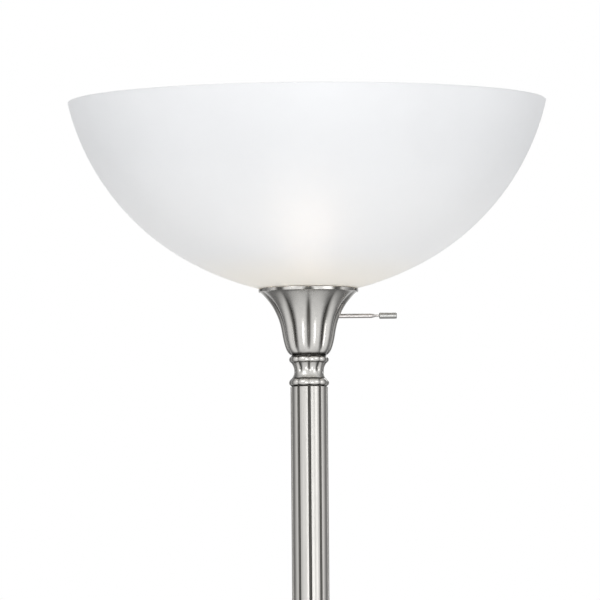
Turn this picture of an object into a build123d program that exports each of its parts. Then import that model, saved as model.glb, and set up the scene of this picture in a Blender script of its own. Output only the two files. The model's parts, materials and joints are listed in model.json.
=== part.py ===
from build123d import *
import os
from dataclasses import dataclass
from math import atan2, cos, degrees, pi, radians, sin, sqrt

# Torchiere floor lamp: a white glass bowl on a fluted tulip cup, a fluted column in three tubes,
# a weighted round base and a reading light on a jointed arm part way up the column.
# Millimetres. The origin is the centre of the base on the floor, +Z is up and -Y is the front.
# The main switch rod points to +X, the reading arm to -X and the cord inlet to +Y.

os.makedirs("parts", exist_ok=True)

# ---------------------------------------------------------------- clearances
seat_gap = 0.05        # between two pieces of one body that seat on each other
running_gap = 0.06     # radial, between a pin or shaft and the bore that turns on it
side_gap = 0.15        # axial, beside a piece that turns
loose_gap = 0.6        # round a rod that passes through a wall

# ---------------------------------------------------------------- column
flute_count = 10
first_groove = -90.0       # degrees; one groove faces the front
groove_spread = 9.2        # degrees that one groove takes of a tube's outline
column_radius = 15.9
column_groove = 1.5        # depth of a tube's grooves
rib_drop = 0.4             # how far a rib's edges lie inside its crest
tube_wall = 2.7            # from a rib's crest to the bore
lower_tube_length = 510.0
middle_tube_length = 510.0
upper_tube_length = 398.8
insert_length = 16.0       # threaded insert pressed into each tube end
nipple_radius = 4.85
nipple_bore = 3.4
nipple_reach = 13.0        # how far a nipple screws into each insert
nipple_foot = 2.0          # between the base's pad and the lowest nipple

# ---------------------------------------------------------------- turned pieces of the column
bead_proud = 1.2           # how far the turned beads stand out past the tubes
shoulder_inset = 1.0       # how far the turned shoulders lie inside the tubes' crests
ring_height = 12.0
neck_height = 27.0
neck_waist = 12.5
neck_notch = 1.3           # radius of the notches that carry the flutes on over the beads
neck_flute = 1.7           # radius of the short flutes above the waist
neck_flute_depth = 1.3
collar_height = 34.0
collar_foot_radius = 31.0
hub_foot_height = 8.0
hub_cap_height = 8.0
journal_radius = 11.0
journal_height = 26.0
swivel_washer_thickness = 1.0

# ---------------------------------------------------------------- base
base_radius = 140.0
base_sheet = 1.2
base_height = 50.0
base_rim_height = 12.5
base_rim_foot = 1.0
base_ledge_width = 13.0    # the nearly flat ledge inside the rim
base_bead_width = 8.0      # the raised bead inside the ledge
pad_thickness = 2.0
pad_inset = 6.8            # inside the cover's rim
weight_inset = 12.8        # inside the cover's rim
weight_drop = 5.5          # how far the ballast lies under the cover's sweep
inlet_height = 7.5
inlet_bore = 3.2
inlet_wall = 1.2
inlet_flange_width = 1.0
inlet_flange_thickness = 1.6
cord_channel_width = 9.0
nut_pocket_clearance = 2.0
base_nut_pocket_depth = 9.0

# ---------------------------------------------------------------- cups, sockets and switches
cup_wall = 1.2
cup_floor = 4.0
cup_foot_proud = 0.8       # past the neck's shoulder
cup_clearance = 0.4        # round the socket inside the cup's belly
belly_groove = 2.9
lip_height = 2.7           # how far the lip's band reaches down from the seat of the glass
lip_width = 1.4
lip_proud = 0.2            # how far the lip's band stands out past the cup's rim
lip_notch = 9.0            # radius of the notches between the lip's petals
lip_notch_depth = 1.2
main_cup_height = 56.7
main_cup_rim = 42.5
reading_cup_height = 50.0
reading_cup_rim = 34.5
hex_across_flats = 15.0
lock_nut_thickness = 3.5
washer_thickness = 1.0
base_washer_radius = 11.0
cup_washer_radius = 8.0
socket_foot = 9.5          # height of the socket's cap above the cup's underside
socket_cap_height = 10.5
socket_wall = 3.05
socket_thread_step = 1.9   # how far the outer thread stands out past the body
socket_thread_start = 8.5  # below the seat of the glass
socket_thread_end = 17.0   # above the seat of the glass
screw_shell_wall = 0.5
screw_shell_gap = 0.5      # round the bulb's cap
contact_drop = 10.0        # from the seat of the glass down to the socket's contact
contact_length = 16.0
contact_thickness = 1.2
switch_height = 33.3       # main switch axis above the cup's underside
reading_switch_height = 29.0
cam_width = 8.6
cam_corner = 2.2
cam_length = 7.0
cam_clearance = 0.9        # round the cam's corners
switch_shaft_radius = 1.4
switch_shaft_grip = 5.0    # how far the shaft goes into the rod
rod_inset = 1.7            # between the socket and the rod's inner end
rod_radius = 1.9
rod_neck_radius = 1.0
knob_radius = 2.6
knob_length = 15.0
main_rod_shoulder = 53.5   # from the lamp's axis to where the rod tapers to its neck
reading_rod_shoulder = 38.0
rod_taper = 3.5
rod_neck_length = 3.0
knob_grip = 4.0            # how far the rod's neck goes into its knob

# ---------------------------------------------------------------- glass and its seat
gasket_thickness = 1.5
gasket_gap = 2.8           # round the socket's thread
gasket_inset = 3.0         # inside the seat plate's edge
plate_gap = 0.3
seat_plate_thickness = 1.2
shade_ring_height = 5.5
shade_ring_width = 6.8
shade_ring_notch = 1.5
shade_ring_notches = 12
fitter_gap = 1.2           # round the socket's thread
bowl_rim_radius = 204.0
bowl_flat_radius = 40.5
bowl_ball_seat = 31.0      # radius at which the bowl's main sphere would meet the seat's level
bowl_foot_share = 0.5      # share of the rim's radius at which the flatter foot ends
bowl_depth = 159.5
bowl_wall = 3.2
bell_depth = 86.0
bell_mouth_radius = 62.0
bell_flat_radius = 30.5
bell_bulge = 13.0          # how far the bell's side bows out from a straight cone
bell_wall = 2.6

# ---------------------------------------------------------------- bulbs
bulb_cap_radius = 13.2
bulb_cap_height = 24.0
bulb_tip_gap = 0.4
bulb_wall = 0.8
main_bulb_radius = 30.0
main_bulb_length = 110.0
reading_bulb_radius = 23.0
reading_bulb_length = 84.0

# ---------------------------------------------------------------- reading arm
arm_pivot_out = 34.0       # from the column's axis to the lower pivot
swivel_wall = 6.54
fork_radius = 9.0
fork_ear = 3.4
tongue_thickness = 8.0
friction_washer = 0.5
pin_radius = 3.0
bolt_head_radius = 5.4
bolt_head_thickness = 3.0
thumb_nut_radius = 8.0
thumb_nut_thickness = 7.0
thumb_nut_lobes = 12
tongue_inset = 0.8         # inside the fork's round ears
tongue_width = 13.0
ferrule_clearance = 2.5    # between a fork's ears and the ferrule that swings past them
slot_gap = 0.6             # between a fork's slot and the tongue's round end
tube_seat_depth = 2.3      # from a ferrule's root to the end of the tube in it
ferrule_wall = 2.0
ferrule_length = 9.0
arm_tube_radius = 5.0
arm_tube_wall = 1.0
arm_rise = 60.0            # degrees above the horizon at the lower pivot
arm_straight = 26.0        # straight run out of the lower ferrule
arm_bend_radius = 52.0
arm_turn = 120.0           # degrees that the arm bends through
arm_tail = 8.0             # straight run into the head's ferrule
head_boss_height = 10.5    # from the head's tongue to its cup
head_boss_inset = 0.5      # inside the cup's foot
nipple_sink = 7.0          # how far the head's nipple screws into its boss

# ---------------------------------------------------------------- sizes that follow from those above
column_bore = column_radius - tube_wall
bead_radius = column_radius + bead_proud
shoulder_radius = column_radius - shoulder_inset
collar_radius = journal_radius + running_gap + swivel_wall
pad_radius = base_radius - base_sheet - pad_inset
weight_radius = base_radius - base_sheet - weight_inset
inlet_body_radius = inlet_bore + inlet_wall
inlet_flange_radius = inlet_body_radius + inlet_flange_width
base_nut_pocket_radius = base_washer_radius + nut_pocket_clearance
screw_shell_radius = bulb_cap_radius + screw_shell_gap + screw_shell_wall
socket_radius = screw_shell_radius + seat_gap + socket_wall
socket_thread_radius = socket_radius + socket_thread_step
cup_foot_radius = shoulder_radius + cup_foot_proud
cup_belly_radius = socket_radius + cup_clearance + cup_wall + belly_groove
gasket_inner = socket_thread_radius + gasket_gap
shade_ring_radius = socket_thread_radius + shade_ring_width
fitter_hole = socket_thread_radius + fitter_gap
cam_chamber_radius = cam_width / sqrt(2) + cam_clearance
rod_start = socket_radius + rod_inset
switch_shaft_reach = rod_start + switch_shaft_grip
tongue_radius = fork_radius - tongue_inset
tongue_neck = fork_radius + ferrule_clearance
ferrule_radius = arm_tube_radius + ferrule_wall
fork_gap = tongue_thickness + 2 * (friction_washer + side_gap)
fork_outer = fork_gap / 2 + fork_ear
fork_bridge = fork_radius + slot_gap + 2.0
head_boss_drop = tongue_neck + head_boss_height
head_boss_radius = cup_foot_radius - head_boss_inset
nipple_top = socket_foot + 4.0

# ---------------------------------------------------------------- heights up the lamp
collar_z = base_height
lower_tube_z = collar_z + collar_height
ring_z = lower_tube_z + lower_tube_length
middle_tube_z = ring_z + ring_height
hub_z = middle_tube_z + middle_tube_length
journal_z = hub_z + hub_foot_height
hub_cap_z = journal_z + journal_height
upper_tube_z = hub_cap_z + hub_cap_height
neck_z = upper_tube_z + upper_tube_length
cup_z = neck_z + neck_height
bowl_seat_z = cup_z + main_cup_height
bowl_rim_z = bowl_seat_z + bowl_depth
pivot_z = journal_z + journal_height / 2


# ---------------------------------------------------------------- shared shapes
def polar_point(radius, angle, height=0.0):
    """A point at a radius and an angle in degrees about Z."""
    return (radius * cos(radians(angle)), radius * sin(radians(angle)), height)


def disc(radius, height, z=0.0, bore=0.0):
    """An upright cylinder or ring that stands at height z."""
    base_up = (Align.CENTER, Align.CENTER, Align.MIN)
    solid = Pos(0, 0, z) * Cylinder(radius, height, align=base_up)
    if bore:
        solid -= Pos(0, 0, z - 1) * Cylinder(bore, height + 2, align=base_up)
    return solid


def turned(outline):
    """The solid that a closed outline of (radius, height) points sweeps about Z."""
    face = Plane.XZ * make_face(Polyline(*outline, close=True))
    return revolve(face, Axis.Z)


def spun_sheet(path, wall, side):
    """A wall of even thickness on one side of an open (radius, height) path, spun about Z."""
    band = path.offset_2d(wall, kind=Kind.INTERSECTION, side=side, closed=True)
    return revolve(Plane.XZ * make_face(band.edges()), Axis.Z)


def inner_points(sides, wall, steps):
    """Points a wall's thickness to the left of a chain of edges, with one point at each corner."""
    points = []
    for number, side in enumerate(sides):
        before = sides[number - 1] % 1 if number else side % 0
        middle = (before + side % 0).normalized()
        points.append(side @ 0 + middle.rotate(Axis.Z, 90) * (wall / middle.dot(side % 0)))
        shares = [] if side.geom_type == GeomType.LINE else [step / steps for step in range(1, steps)]
        points += [side @ share + (side % share).rotate(Axis.Z, 90) * wall for share in shares]
    points.append(sides[-1] @ 1 + (sides[-1] % 1).rotate(Axis.Z, 90) * wall)
    return points


def lined_sheet(sides, wall, steps):
    """A wall to the left of a chain of (radius, height) edges, spun about Z, plain on its hidden side."""
    inside = inner_points(sides, wall, steps)
    back = Polyline(sides[-1] @ 1, *reversed(inside), sides[0] @ 0)
    return revolve(Plane.XZ * make_face([*sides, *back.edges()]), Axis.Z)


def chamfered_rims(solid, size):
    """Breaks the highest and the lowest round edges of an upright piece."""
    round_edges = solid.edges().filter_by(GeomType.CIRCLE).group_by(Axis.Z)
    return chamfer(round_edges[0] + round_edges[-1], size)


def fluted_outline(crest, groove, height, points_per_rib=6, softness=0.006):
    """One closed curve of broad convex ribs with narrow soft grooves between them, at a height."""
    points = []
    for step in range(flute_count * points_per_rib):
        angle = 360.0 * step / (flute_count * points_per_rib)
        rib = (sin(radians(flute_count * angle / 2)) ** 2 + softness) ** 0.35
        radius = crest - groove * (1 - rib)
        points.append(polar_point(radius, first_groove + angle, height))
    return Face(Wire([Edge.make_spline([Vector(*p) for p in points], periodic=True)]))


def fluted_loft(profile):
    """A ribbed solid through outlines given as (height, crest radius, groove depth)."""
    return loft([fluted_outline(crest, groove, height) for height, crest, groove in profile])


def hexagon_nut(thickness, bore, z=0.0):
    """A six-sided nut with its corners broken."""
    blank = extrude(RegularPolygon(hex_across_flats / 2, 6, major_radius=False), thickness)
    corner = hex_across_flats / 2 / cos(pi / 6)
    blank &= chamfered_rims(disc(corner, thickness), 0.6)
    return Pos(0, 0, z) * (blank - disc(bore, thickness + 2, -1))


# ---------------------------------------------------------------- column
def column_section():
    """A tube's outline: ten rib arcs joined by ten groove arcs."""
    pitch = 360.0 / flute_count
    half = groove_spread / 2
    edge = column_radius - rib_drop
    floor = column_radius - column_groove
    with BuildSketch() as section:
        with BuildLine():
            for flute in range(flute_count):
                centre = first_groove + flute * pitch
                start, end = polar_point(edge, centre - half), polar_point(edge, centre + half)
                ThreePointArc(start, polar_point(floor, centre), end)
                crest = polar_point(column_radius, centre + pitch / 2)
                ThreePointArc(end, crest, polar_point(edge, centre + pitch - half))
        make_face()
        Circle(column_bore, mode=Mode.SUBTRACT)
    return section.sketch


def column_tube(z, length):
    """One fluted tube that stands at height z."""
    return Pos(0, 0, z) * extrude(column_section(), length)


def tube_insert(z):
    """The threaded insert in a tube's end, its lower face at height z."""
    body = disc(column_bore - seat_gap, insert_length, z, bore=nipple_radius + seat_gap)
    return chamfered_rims(body, 0.8)


def nipple(low, high):
    """A hollow threaded pipe between two heights."""
    return chamfered_rims(disc(nipple_radius, high - low, low, bore=nipple_bore), 0.5)


def column_ring():
    """The beaded ring between the lower and the middle tube."""
    bore, edge = nipple_radius + seat_gap, shoulder_radius
    with BuildSketch(Plane.XZ) as half:
        with BuildLine():
            Polyline((edge, 1.6), (edge, 0), (bore, 0), (bore, ring_height), (edge, ring_height),
                     (edge, ring_height - 1.6))
            ThreePointArc((edge, 1.6), (bead_radius, ring_height / 2), (edge, ring_height - 1.6))
        make_face()
    return Pos(0, 0, ring_z) * revolve(half.sketch, Axis.Z)


def neck_waist_arcs():
    """The neck's hollow between its beads, as three arcs of (radius, height) from below."""
    low, high, top = shoulder_radius + 0.1, shoulder_radius + 0.4, neck_height
    hip, chest = (neck_waist + 0.4, 0.4 * top), (neck_waist + 0.8, top - 9.6)
    return (ThreePointArc((low, 6.9), (neck_waist + 1.0, 0.33 * top), hip),
            ThreePointArc(hip, (neck_waist, 0.52 * top), chest),
            ThreePointArc(chest, (neck_waist + 1.8, top - 7.7), (high, top - 6.0)))


def neck_flute_cutter():
    """A round bar leaning along the neck's upper hollow, on the line of a column groove."""
    proud = neck_flute - neck_flute_depth
    foot = Vector(neck_waist + proud, 0, 0.52 * neck_height)
    head = Vector(shoulder_radius + 0.4 + proud, 0, neck_height - 6.0)
    lean = (head - foot).normalized()
    return Plane(origin=foot, z_dir=lean) * disc(neck_flute, (head - foot).length)


def column_neck():
    """The neck under the cup: two notched beads with a fluted hollow waist between them."""
    bore, edge, top = nipple_radius + seat_gap, shoulder_radius, neck_height
    hollow = neck_waist_arcs()
    with BuildSketch(Plane.XZ) as half:
        with BuildLine():
            Polyline((edge, 0.9), (edge, 0), (bore, 0), (bore, top), (edge, top), (edge, top - 0.8))
            ThreePointArc((edge, 0.9), (bead_radius, 3.7), hollow[0] @ 0)
            for arc in hollow:
                add(arc)
            ThreePointArc(hollow[-1] @ 1, (bead_radius - 0.2, top - 3.4), (edge, top - 0.8))
        make_face()
    body = revolve(half.sketch, Axis.Z)
    notch = Pos(polar_point(bead_radius - 0.1, first_groove)) * disc(neck_notch, neck_height)
    cutters = (notch, Rot(0, 0, first_groove) * neck_flute_cutter())
    body -= [Rot(0, 0, 360 / flute_count * turn) * cutter for turn in range(flute_count)
             for cutter in cutters]
    return Pos(0, 0, neck_z) * body


def base_collar():
    """The turned foot that carries the column on the base."""
    bore = nipple_radius + seat_gap
    foot = collar_foot_radius
    with BuildSketch(Plane.XZ) as half:
        with BuildLine():
            Polyline((foot - 1, 0), (bore, 0), (bore, collar_height), (shoulder_radius, collar_height),
                     (shoulder_radius, collar_height - 1.4))
            ThreePointArc((shoulder_radius, collar_height - 1.4), (bead_radius, collar_height - 3.6),
                          (shoulder_radius, collar_height - 5.8))
            ThreePointArc((shoulder_radius, collar_height - 5.8), (18.2, 14.0), (foot - 2.5, 5.4))
            ThreePointArc((foot - 2.5, 5.4), (foot, 2.9), (foot - 1, 0))
        make_face()
    return Pos(0, 0, collar_z) * revolve(half.sketch, Axis.Z)


def hub_lower():
    """The hub's foot with its bead, and the journal that the reading arm swings on."""
    bore = nipple_radius + seat_gap
    top = hub_foot_height
    with BuildSketch(Plane.XZ) as half:
        with BuildLine():
            Polyline((shoulder_radius, 0), (bore, 0), (bore, top + journal_height),
                     (journal_radius, top + journal_height), (journal_radius, top), (shoulder_radius, top))
            Line((shoulder_radius, 0), (shoulder_radius, 1.0))
            ThreePointArc((shoulder_radius, 1.0), (bead_radius, 3.2), (shoulder_radius + 0.6, 5.4))
            Polyline((shoulder_radius + 0.6, 5.4), (shoulder_radius + 0.6, top - 0.6),
                     (shoulder_radius, top))
        make_face()
    return Pos(0, 0, hub_z) * revolve(half.sketch, Axis.Z)


def hub_upper():
    """The hub's cap, a mirror of its foot, which keeps the arm's collar on the journal."""
    bore = nipple_radius + seat_gap
    top = hub_cap_height
    with BuildSketch(Plane.XZ) as half:
        with BuildLine():
            Polyline((shoulder_radius, 0), (bore, 0), (bore, top), (shoulder_radius, top),
                     (shoulder_radius, top - 1.0))
            ThreePointArc((shoulder_radius, top - 1.0), (bead_radius, top - 3.2),
                          (shoulder_radius + 0.6, top - 5.4))
            Polyline((shoulder_radius + 0.6, top - 5.4), (shoulder_radius + 0.6, 0.6), (shoulder_radius, 0))
        make_face()
    return Pos(0, 0, hub_cap_z) * revolve(half.sketch, Axis.Z)


def swivel_washer(z):
    """One of the two washers that the arm's collar turns between."""
    return disc(shoulder_radius, swivel_washer_thickness, z, bore=journal_radius + seat_gap)


# ---------------------------------------------------------------- base
def base_sweep():
    """Three points of the long sweep from the bead up to the collar: outer, middle and inner."""
    step = base_rim_height + 3.0
    outer = (base_radius - 3 - base_ledge_width - base_bead_width, step + 8.4)
    inner = (collar_foot_radius + 5, base_height - 4.5)
    middle = (inner[0] + 0.375 * (outer[0] - inner[0]), outer[1] + 0.282 * (inner[1] - outer[1]))
    return outer, middle, inner


def base_shell():
    """The spun sheet cover: an upright rim, a stepped bead and a long sweep up to the collar."""
    step = base_rim_height + 3.0
    ledge = base_radius - 3 - base_ledge_width
    crown = collar_foot_radius + 1
    outer, middle, inner = base_sweep()
    sides = [
        Line((base_radius, base_rim_foot), (base_radius, base_rim_height)),
        ThreePointArc((base_radius, base_rim_height), (base_radius - 0.9, step - 0.9),
                      (base_radius - 3, step)),
        Line((base_radius - 3, step), (ledge, step + 1.5)),
        ThreePointArc((ledge, step + 1.5), (ledge - 2.2, step + 2.6), (ledge - 3, step + 5.0)),
        ThreePointArc((ledge - 3, step + 5.0), (ledge - 4.6, step + 7.6), outer),
        ThreePointArc(outer, middle, inner),
        ThreePointArc(inner, (crown + 2.9, base_height - 1.3), (crown, base_height)),
        Line((crown, base_height), (nipple_radius + seat_gap, base_height)),
    ]
    shell = lined_sheet(sides, base_sheet, steps=6)
    hole = Pos(0, base_radius, inlet_height) * Rot(90, 0, 0) * Cylinder(inlet_body_radius + seat_gap, 12)
    return shell - hole


def base_weight():
    """The cast iron ballast, stepped under the cover, with a nut pocket and a channel for the cord."""
    bore = nipple_radius + seat_gap
    boss = collar_foot_radius - 5
    outer, middle, inner = [(radius, z - weight_drop) for radius, z in base_sweep()]
    body = turned([
        (bore, pad_thickness), (weight_radius, pad_thickness), (weight_radius, base_rim_height),
        outer, middle, inner, (boss, inner[1]), (boss, base_height - base_sheet),
        (bore, base_height - base_sheet),
    ])
    body -= disc(base_nut_pocket_radius, base_nut_pocket_depth, pad_thickness)
    channel = Pos(0, 0, pad_thickness) * Box(
        cord_channel_width, weight_radius + 5, 2 * (inlet_height - pad_thickness),
        align=(Align.CENTER, Align.MIN, Align.MIN))
    return body - channel


def base_pad():
    """The foam pad that the lamp stands on."""
    return disc(pad_radius, pad_thickness)


def cord_inlet():
    """The moulded bush that lines the cord's way through the base's rim."""
    inner = base_radius - base_sheet
    body = disc(inlet_body_radius, base_sheet + 3.0, inner - 3.0, bore=inlet_bore)
    body += disc(inlet_flange_radius, inlet_flange_thickness, base_radius + seat_gap, bore=inlet_bore)
    body += disc(inlet_body_radius, seat_gap, base_radius, bore=inlet_bore)
    body += disc(inlet_body_radius + 0.6, 1.5, inner - 3.0, bore=inlet_bore)
    return Pos(0, 0, inlet_height) * Rot(-90, 0, 0) * body


# ---------------------------------------------------------------- cups
def cup_profile(light):
    """(height, crest radius, groove depth) up a tulip cup that flares to its rim."""
    swell, flare = cup_belly_radius - cup_foot_radius, light.rim - cup_belly_radius
    shares = (
        (0.00, -1.000, 0.25), (0.04, -0.650, 0.45), (0.10, -0.370, 0.75), (0.18, -0.150, 0.92),
        (0.28, 0.015, 1.00), (0.40, 0.063, 1.03), (0.52, 0.150, 1.03), (0.64, 0.280, 0.97),
        (0.76, 0.455, 0.84), (0.86, 0.680, 0.62), (0.94, 0.880, 0.35), (1.00, 0.960, 0.12),
    )
    return [((light.seat - seat_gap) * height,
             cup_belly_radius + reach * (flare if reach > 0 else swell),
             belly_groove * depth) for height, reach, depth in shares]


def fluted_cup(light):
    """A hollow fluted cup with a plain lip under the glass and holes for its nipple and switch rod."""
    profile = cup_profile(light)
    body = fluted_loft(profile)
    hollow = [(crest - groove - cup_wall, z) for z, crest, groove in profile if z > cup_floor + 4]
    mouth = hollow[-1][0]
    body -= turned([(0, cup_floor), (cup_foot_radius - 0.6, cup_floor), *hollow, (mouth, light.seat + 3),
                    (0, light.seat + 3)])
    lip = disc(light.rim + lip_proud, light.lip_rise + lip_height, light.seat - lip_height,
               bore=light.rim - lip_width)
    lip = chamfer(lip.edges().group_by(Axis.Z)[-1].sort_by(SortBy.RADIUS)[-1], 0.5)
    reach = light.rim + lip_proud + lip_notch - lip_notch_depth
    notch = Pos(polar_point(reach, first_groove)) * disc(lip_notch, 2 * light.seat)
    body += lip - [Rot(0, 0, 360 / flute_count * turn) * notch for turn in range(flute_count)]
    body -= disc(nipple_radius + seat_gap, cup_floor + 2, -1)
    rod_hole = Pos(0, 0, light.switch_z) * Rot(0, 90, 0) * disc(rod_radius + loose_gap, light.rim)
    return body - rod_hole


# ---------------------------------------------------------------- sockets, switches and bulbs
def socket_cap():
    """The domed metal cap that screws on the nipple and carries the socket."""
    bore, low, top = nipple_radius + seat_gap, socket_foot, socket_foot + socket_cap_height
    dome = [(9.0, low), (socket_radius - 4.8, low + 1.4), (socket_radius - 1.6, low + 4.2),
            (socket_radius, low + 7.5)]
    return turned([(bore, low), *dome, (socket_radius, top), (bore, top)])


def socket_body(light):
    """The insulating body: switch chamber below, lamp holder above, outer thread for the shade ring."""
    low = socket_foot + socket_cap_height
    thread, top = light.seat - socket_thread_start, light.seat + socket_thread_end
    body = turned([
        (0, low), (socket_radius, low), (socket_radius, thread - 1.5), (socket_thread_radius, thread),
        (socket_thread_radius, top - 0.8), (socket_thread_radius - 0.8, top), (0, top),
    ])
    body -= disc(screw_shell_radius + seat_gap, socket_thread_end + contact_drop + 1, light.contact_z)
    chamber = disc(cam_chamber_radius, cam_length + 2 * side_gap, -cam_length / 2 - side_gap)
    chamber += disc(switch_shaft_radius + running_gap, socket_radius + 2)
    return body - Pos(0, 0, light.switch_z) * Rot(0, 90, 0) * chamber


def screw_shell(light):
    """The plated threaded sleeve that the bulb's cap screws into."""
    height = socket_thread_end + contact_drop - 1
    return disc(screw_shell_radius, height, light.contact_z, bore=screw_shell_radius - screw_shell_wall)


def centre_contact(light):
    """The springy brass tongue under the bulb's tip."""
    tongue = Box(contact_length, 5, 0.6, align=(Align.CENTER, Align.CENTER, Align.MIN))
    return Pos(0, 0, light.contact_z) * (tongue + disc(3.4, contact_thickness))


def seat_plate(light):
    """The plate that spans the cup's mouth and carries the glass."""
    low = light.seat - gasket_thickness - seat_plate_thickness
    bore = socket_thread_radius + plate_gap
    return chamfered_rims(disc(light.plate_radius, seat_plate_thickness, low, bore=bore), 0.3)


def gasket(light):
    """The soft ring between the plate and the glass."""
    outer = light.plate_radius - gasket_inset
    return disc(outer, gasket_thickness, light.seat - gasket_thickness, bore=gasket_inner)


def shade_ring(light):
    """The notched ring nut that clamps the glass down on its seat."""
    low = light.seat + light.glass_wall
    ring = disc(shade_ring_radius, shade_ring_height, low, bore=socket_thread_radius + seat_gap)
    notch = Pos(shade_ring_radius, 0, low + shade_ring_height / 2)
    notch = notch * Cylinder(shade_ring_notch, shade_ring_height + 2)
    step = 360 / shade_ring_notches
    return ring - [Rot(0, 0, step * turn) * notch for turn in range(shade_ring_notches)]


def bulb_cap(light):
    """The bulb's screw cap: a plated cup with its soldered tip."""
    low, top, outer = light.bulb_z, light.bulb_z + bulb_cap_height, bulb_cap_radius
    return turned([
        (0, low), (4.0, low), (4.6, low + 1.8), (9.0, low + 3.6), (outer, low + 5.4), (outer, top),
        (outer - 0.5, top), (outer - 0.5, low + 5.8), (8.8, low + 4.2), (0, low + 4.2),
    ])


def bulb_glass(light):
    """The frosted envelope: a globe that runs down into a neck inside the cap."""
    centre = light.bulb_z + light.bulb_length - light.bulb_radius
    neck = (bulb_cap_radius - 0.5 - bulb_wall / 2, light.bulb_z + bulb_cap_height + 1)
    join = radians(-42)
    shoulder = (light.bulb_radius * cos(join), centre + light.bulb_radius * sin(join))
    sides = [
        Line((neck[0], light.bulb_z + 8), neck),
        TangentArc(neck, shoulder, tangent=(0, 1)),
        ThreePointArc(shoulder, (light.bulb_radius, centre), (0, centre + light.bulb_radius)),
    ]
    return lined_sheet(sides, bulb_wall, steps=8)


def switch_cam(light):
    """The four-sided cam and its shaft, which step the switch at each quarter turn."""
    lobes = extrude(RectangleRounded(cam_width, cam_width, cam_corner), cam_length / 2, both=True)
    lobes += disc(switch_shaft_radius, switch_shaft_reach)
    return Pos(0, 0, light.switch_z) * Rot(0, 90, 0) * lobes


def switch_rod(light):
    """The turned rod, hollow where it sits on the cam's shaft, with a thin neck before its knob."""
    shoulder, neck = light.rod_shoulder, light.rod_shoulder + rod_taper
    end, socket_end = neck + rod_neck_length + knob_grip, switch_shaft_reach + 0.3
    bore = switch_shaft_radius + seat_gap
    rod = turned([
        (bore, rod_start), (rod_radius, rod_start), (rod_radius, shoulder), (rod_neck_radius, neck),
        (rod_neck_radius, end), (0, end), (0, socket_end), (bore, socket_end),
    ])
    return Pos(0, 0, light.switch_z) * Rot(0, 90, 0) * rod


def switch_knob(light):
    """The small grip pressed on the rod's end."""
    start = light.rod_shoulder + rod_taper + rod_neck_length
    knob = chamfered_rims(disc(knob_radius, knob_length, start), 0.5)
    knob -= disc(rod_neck_radius + seat_gap, knob_grip + 0.3 + 1, start - 1)
    return Pos(0, 0, light.switch_z) * Rot(0, 90, 0) * knob


# ---------------------------------------------------------------- glass
def ground_mouth(glass, wall):
    """Breaks both edges of a spun glass's ground mouth."""
    levels = glass.edges().group_by(Axis.Z)
    return chamfer(levels[-1] + levels[-2], wall * 0.3)


def bowl_side():
    """The bowl's outer side from its seat up to its rim: a flatter foot, then part of a sphere."""
    centre = (bowl_rim_radius ** 2 + bowl_depth ** 2 - bowl_ball_seat ** 2) / (2 * bowl_depth)
    ball = sqrt(bowl_ball_seat ** 2 + centre ** 2)
    join_radius = bowl_rim_radius * bowl_foot_share
    join_angle = degrees(atan2(-sqrt(ball ** 2 - join_radius ** 2), join_radius))
    rim_angle = degrees(atan2(bowl_depth - centre, bowl_rim_radius))
    upper = CenterArc((0, centre), ball, join_angle, rim_angle - join_angle)
    inward = TangentArc(upper @ 0, (bowl_flat_radius, 0), tangent=(upper % 0) * -1)
    return ThreePointArc((bowl_flat_radius, 0), inward @ 0.5, upper @ 0), upper


def bowl_glass():
    """The blown glass bowl, its flat seat at height zero, with a ground rim."""
    with BuildLine() as path:
        Line((fitter_hole, 0), (bowl_flat_radius, 0))
        for arc in bowl_side():
            add(arc)
    return ground_mouth(spun_sheet(path.wire(), bowl_wall, Side.LEFT), bowl_wall)


def rise(foot, radius):
    """How far a glass's outer face lies above its seat at a radius near the seat."""
    slope = foot % 0
    return (radius - (foot @ 0).X) * slope.Y / slope.X


def bell_side():
    """The bell's side as an arc from its seat to its mouth, both as (radius, height)."""
    foot, mouth = Vector(bell_flat_radius, 0), Vector(bell_mouth_radius, bell_depth)
    outward = (mouth - foot).normalized().rotate(Axis.Z, -90)
    return ThreePointArc(foot, (foot + mouth) / 2 + outward * bell_bulge, mouth)


def bell_glass():
    """The reading light's small glass bell, its flat seat at height zero."""
    with BuildLine() as path:
        Line((fitter_hole, 0), (bell_flat_radius, 0))
        bell_side()
    return ground_mouth(spun_sheet(path.wire(), bell_wall, Side.LEFT), bell_wall)


# ---------------------------------------------------------------- reading arm
def pivot_bar(radius, low, high):
    """A round bar along Y between two distances from a pivot at the origin."""
    return Rot(-90, 0, 0) * disc(radius, high - low, low)


def fork(reach, bar_radius):
    """Two rounded ears about a pivot at the origin, joined by a bridge that runs to +X."""
    ear = Plane.XZ * (Circle(fork_radius) + Pos(reach / 2, 0) * Rectangle(reach, 2 * fork_radius))
    block = extrude(ear, fork_outer, both=True)
    slot = Box(4 * fork_radius, fork_gap, 4 * fork_radius, align=(Align.MAX, Align.CENTER, Align.CENTER))
    block -= Pos(fork_radius + slot_gap, 0, 0) * slot
    return block - pivot_bar(bar_radius, -fork_outer - 1, fork_outer + 1)


def tongue():
    """A flat tongue about a pivot at the origin, whose neck runs to -X into a ferrule."""
    neck = Pos(-tongue_neck / 2, 0) * Rectangle(tongue_neck, tongue_width)
    solid = extrude(Plane.XZ * (Circle(tongue_radius) + neck), tongue_thickness / 2, both=True)
    solid += Rot(0, -90, 0) * chamfered_rims(disc(ferrule_radius, ferrule_length, tongue_neck), 0.8)
    solid -= Pos(-tongue_neck, 0, 0) * Rot(0, 180, 0) * tube_socket()
    return solid - pivot_bar(pin_radius + running_gap, -tongue_thickness, tongue_thickness)


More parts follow.
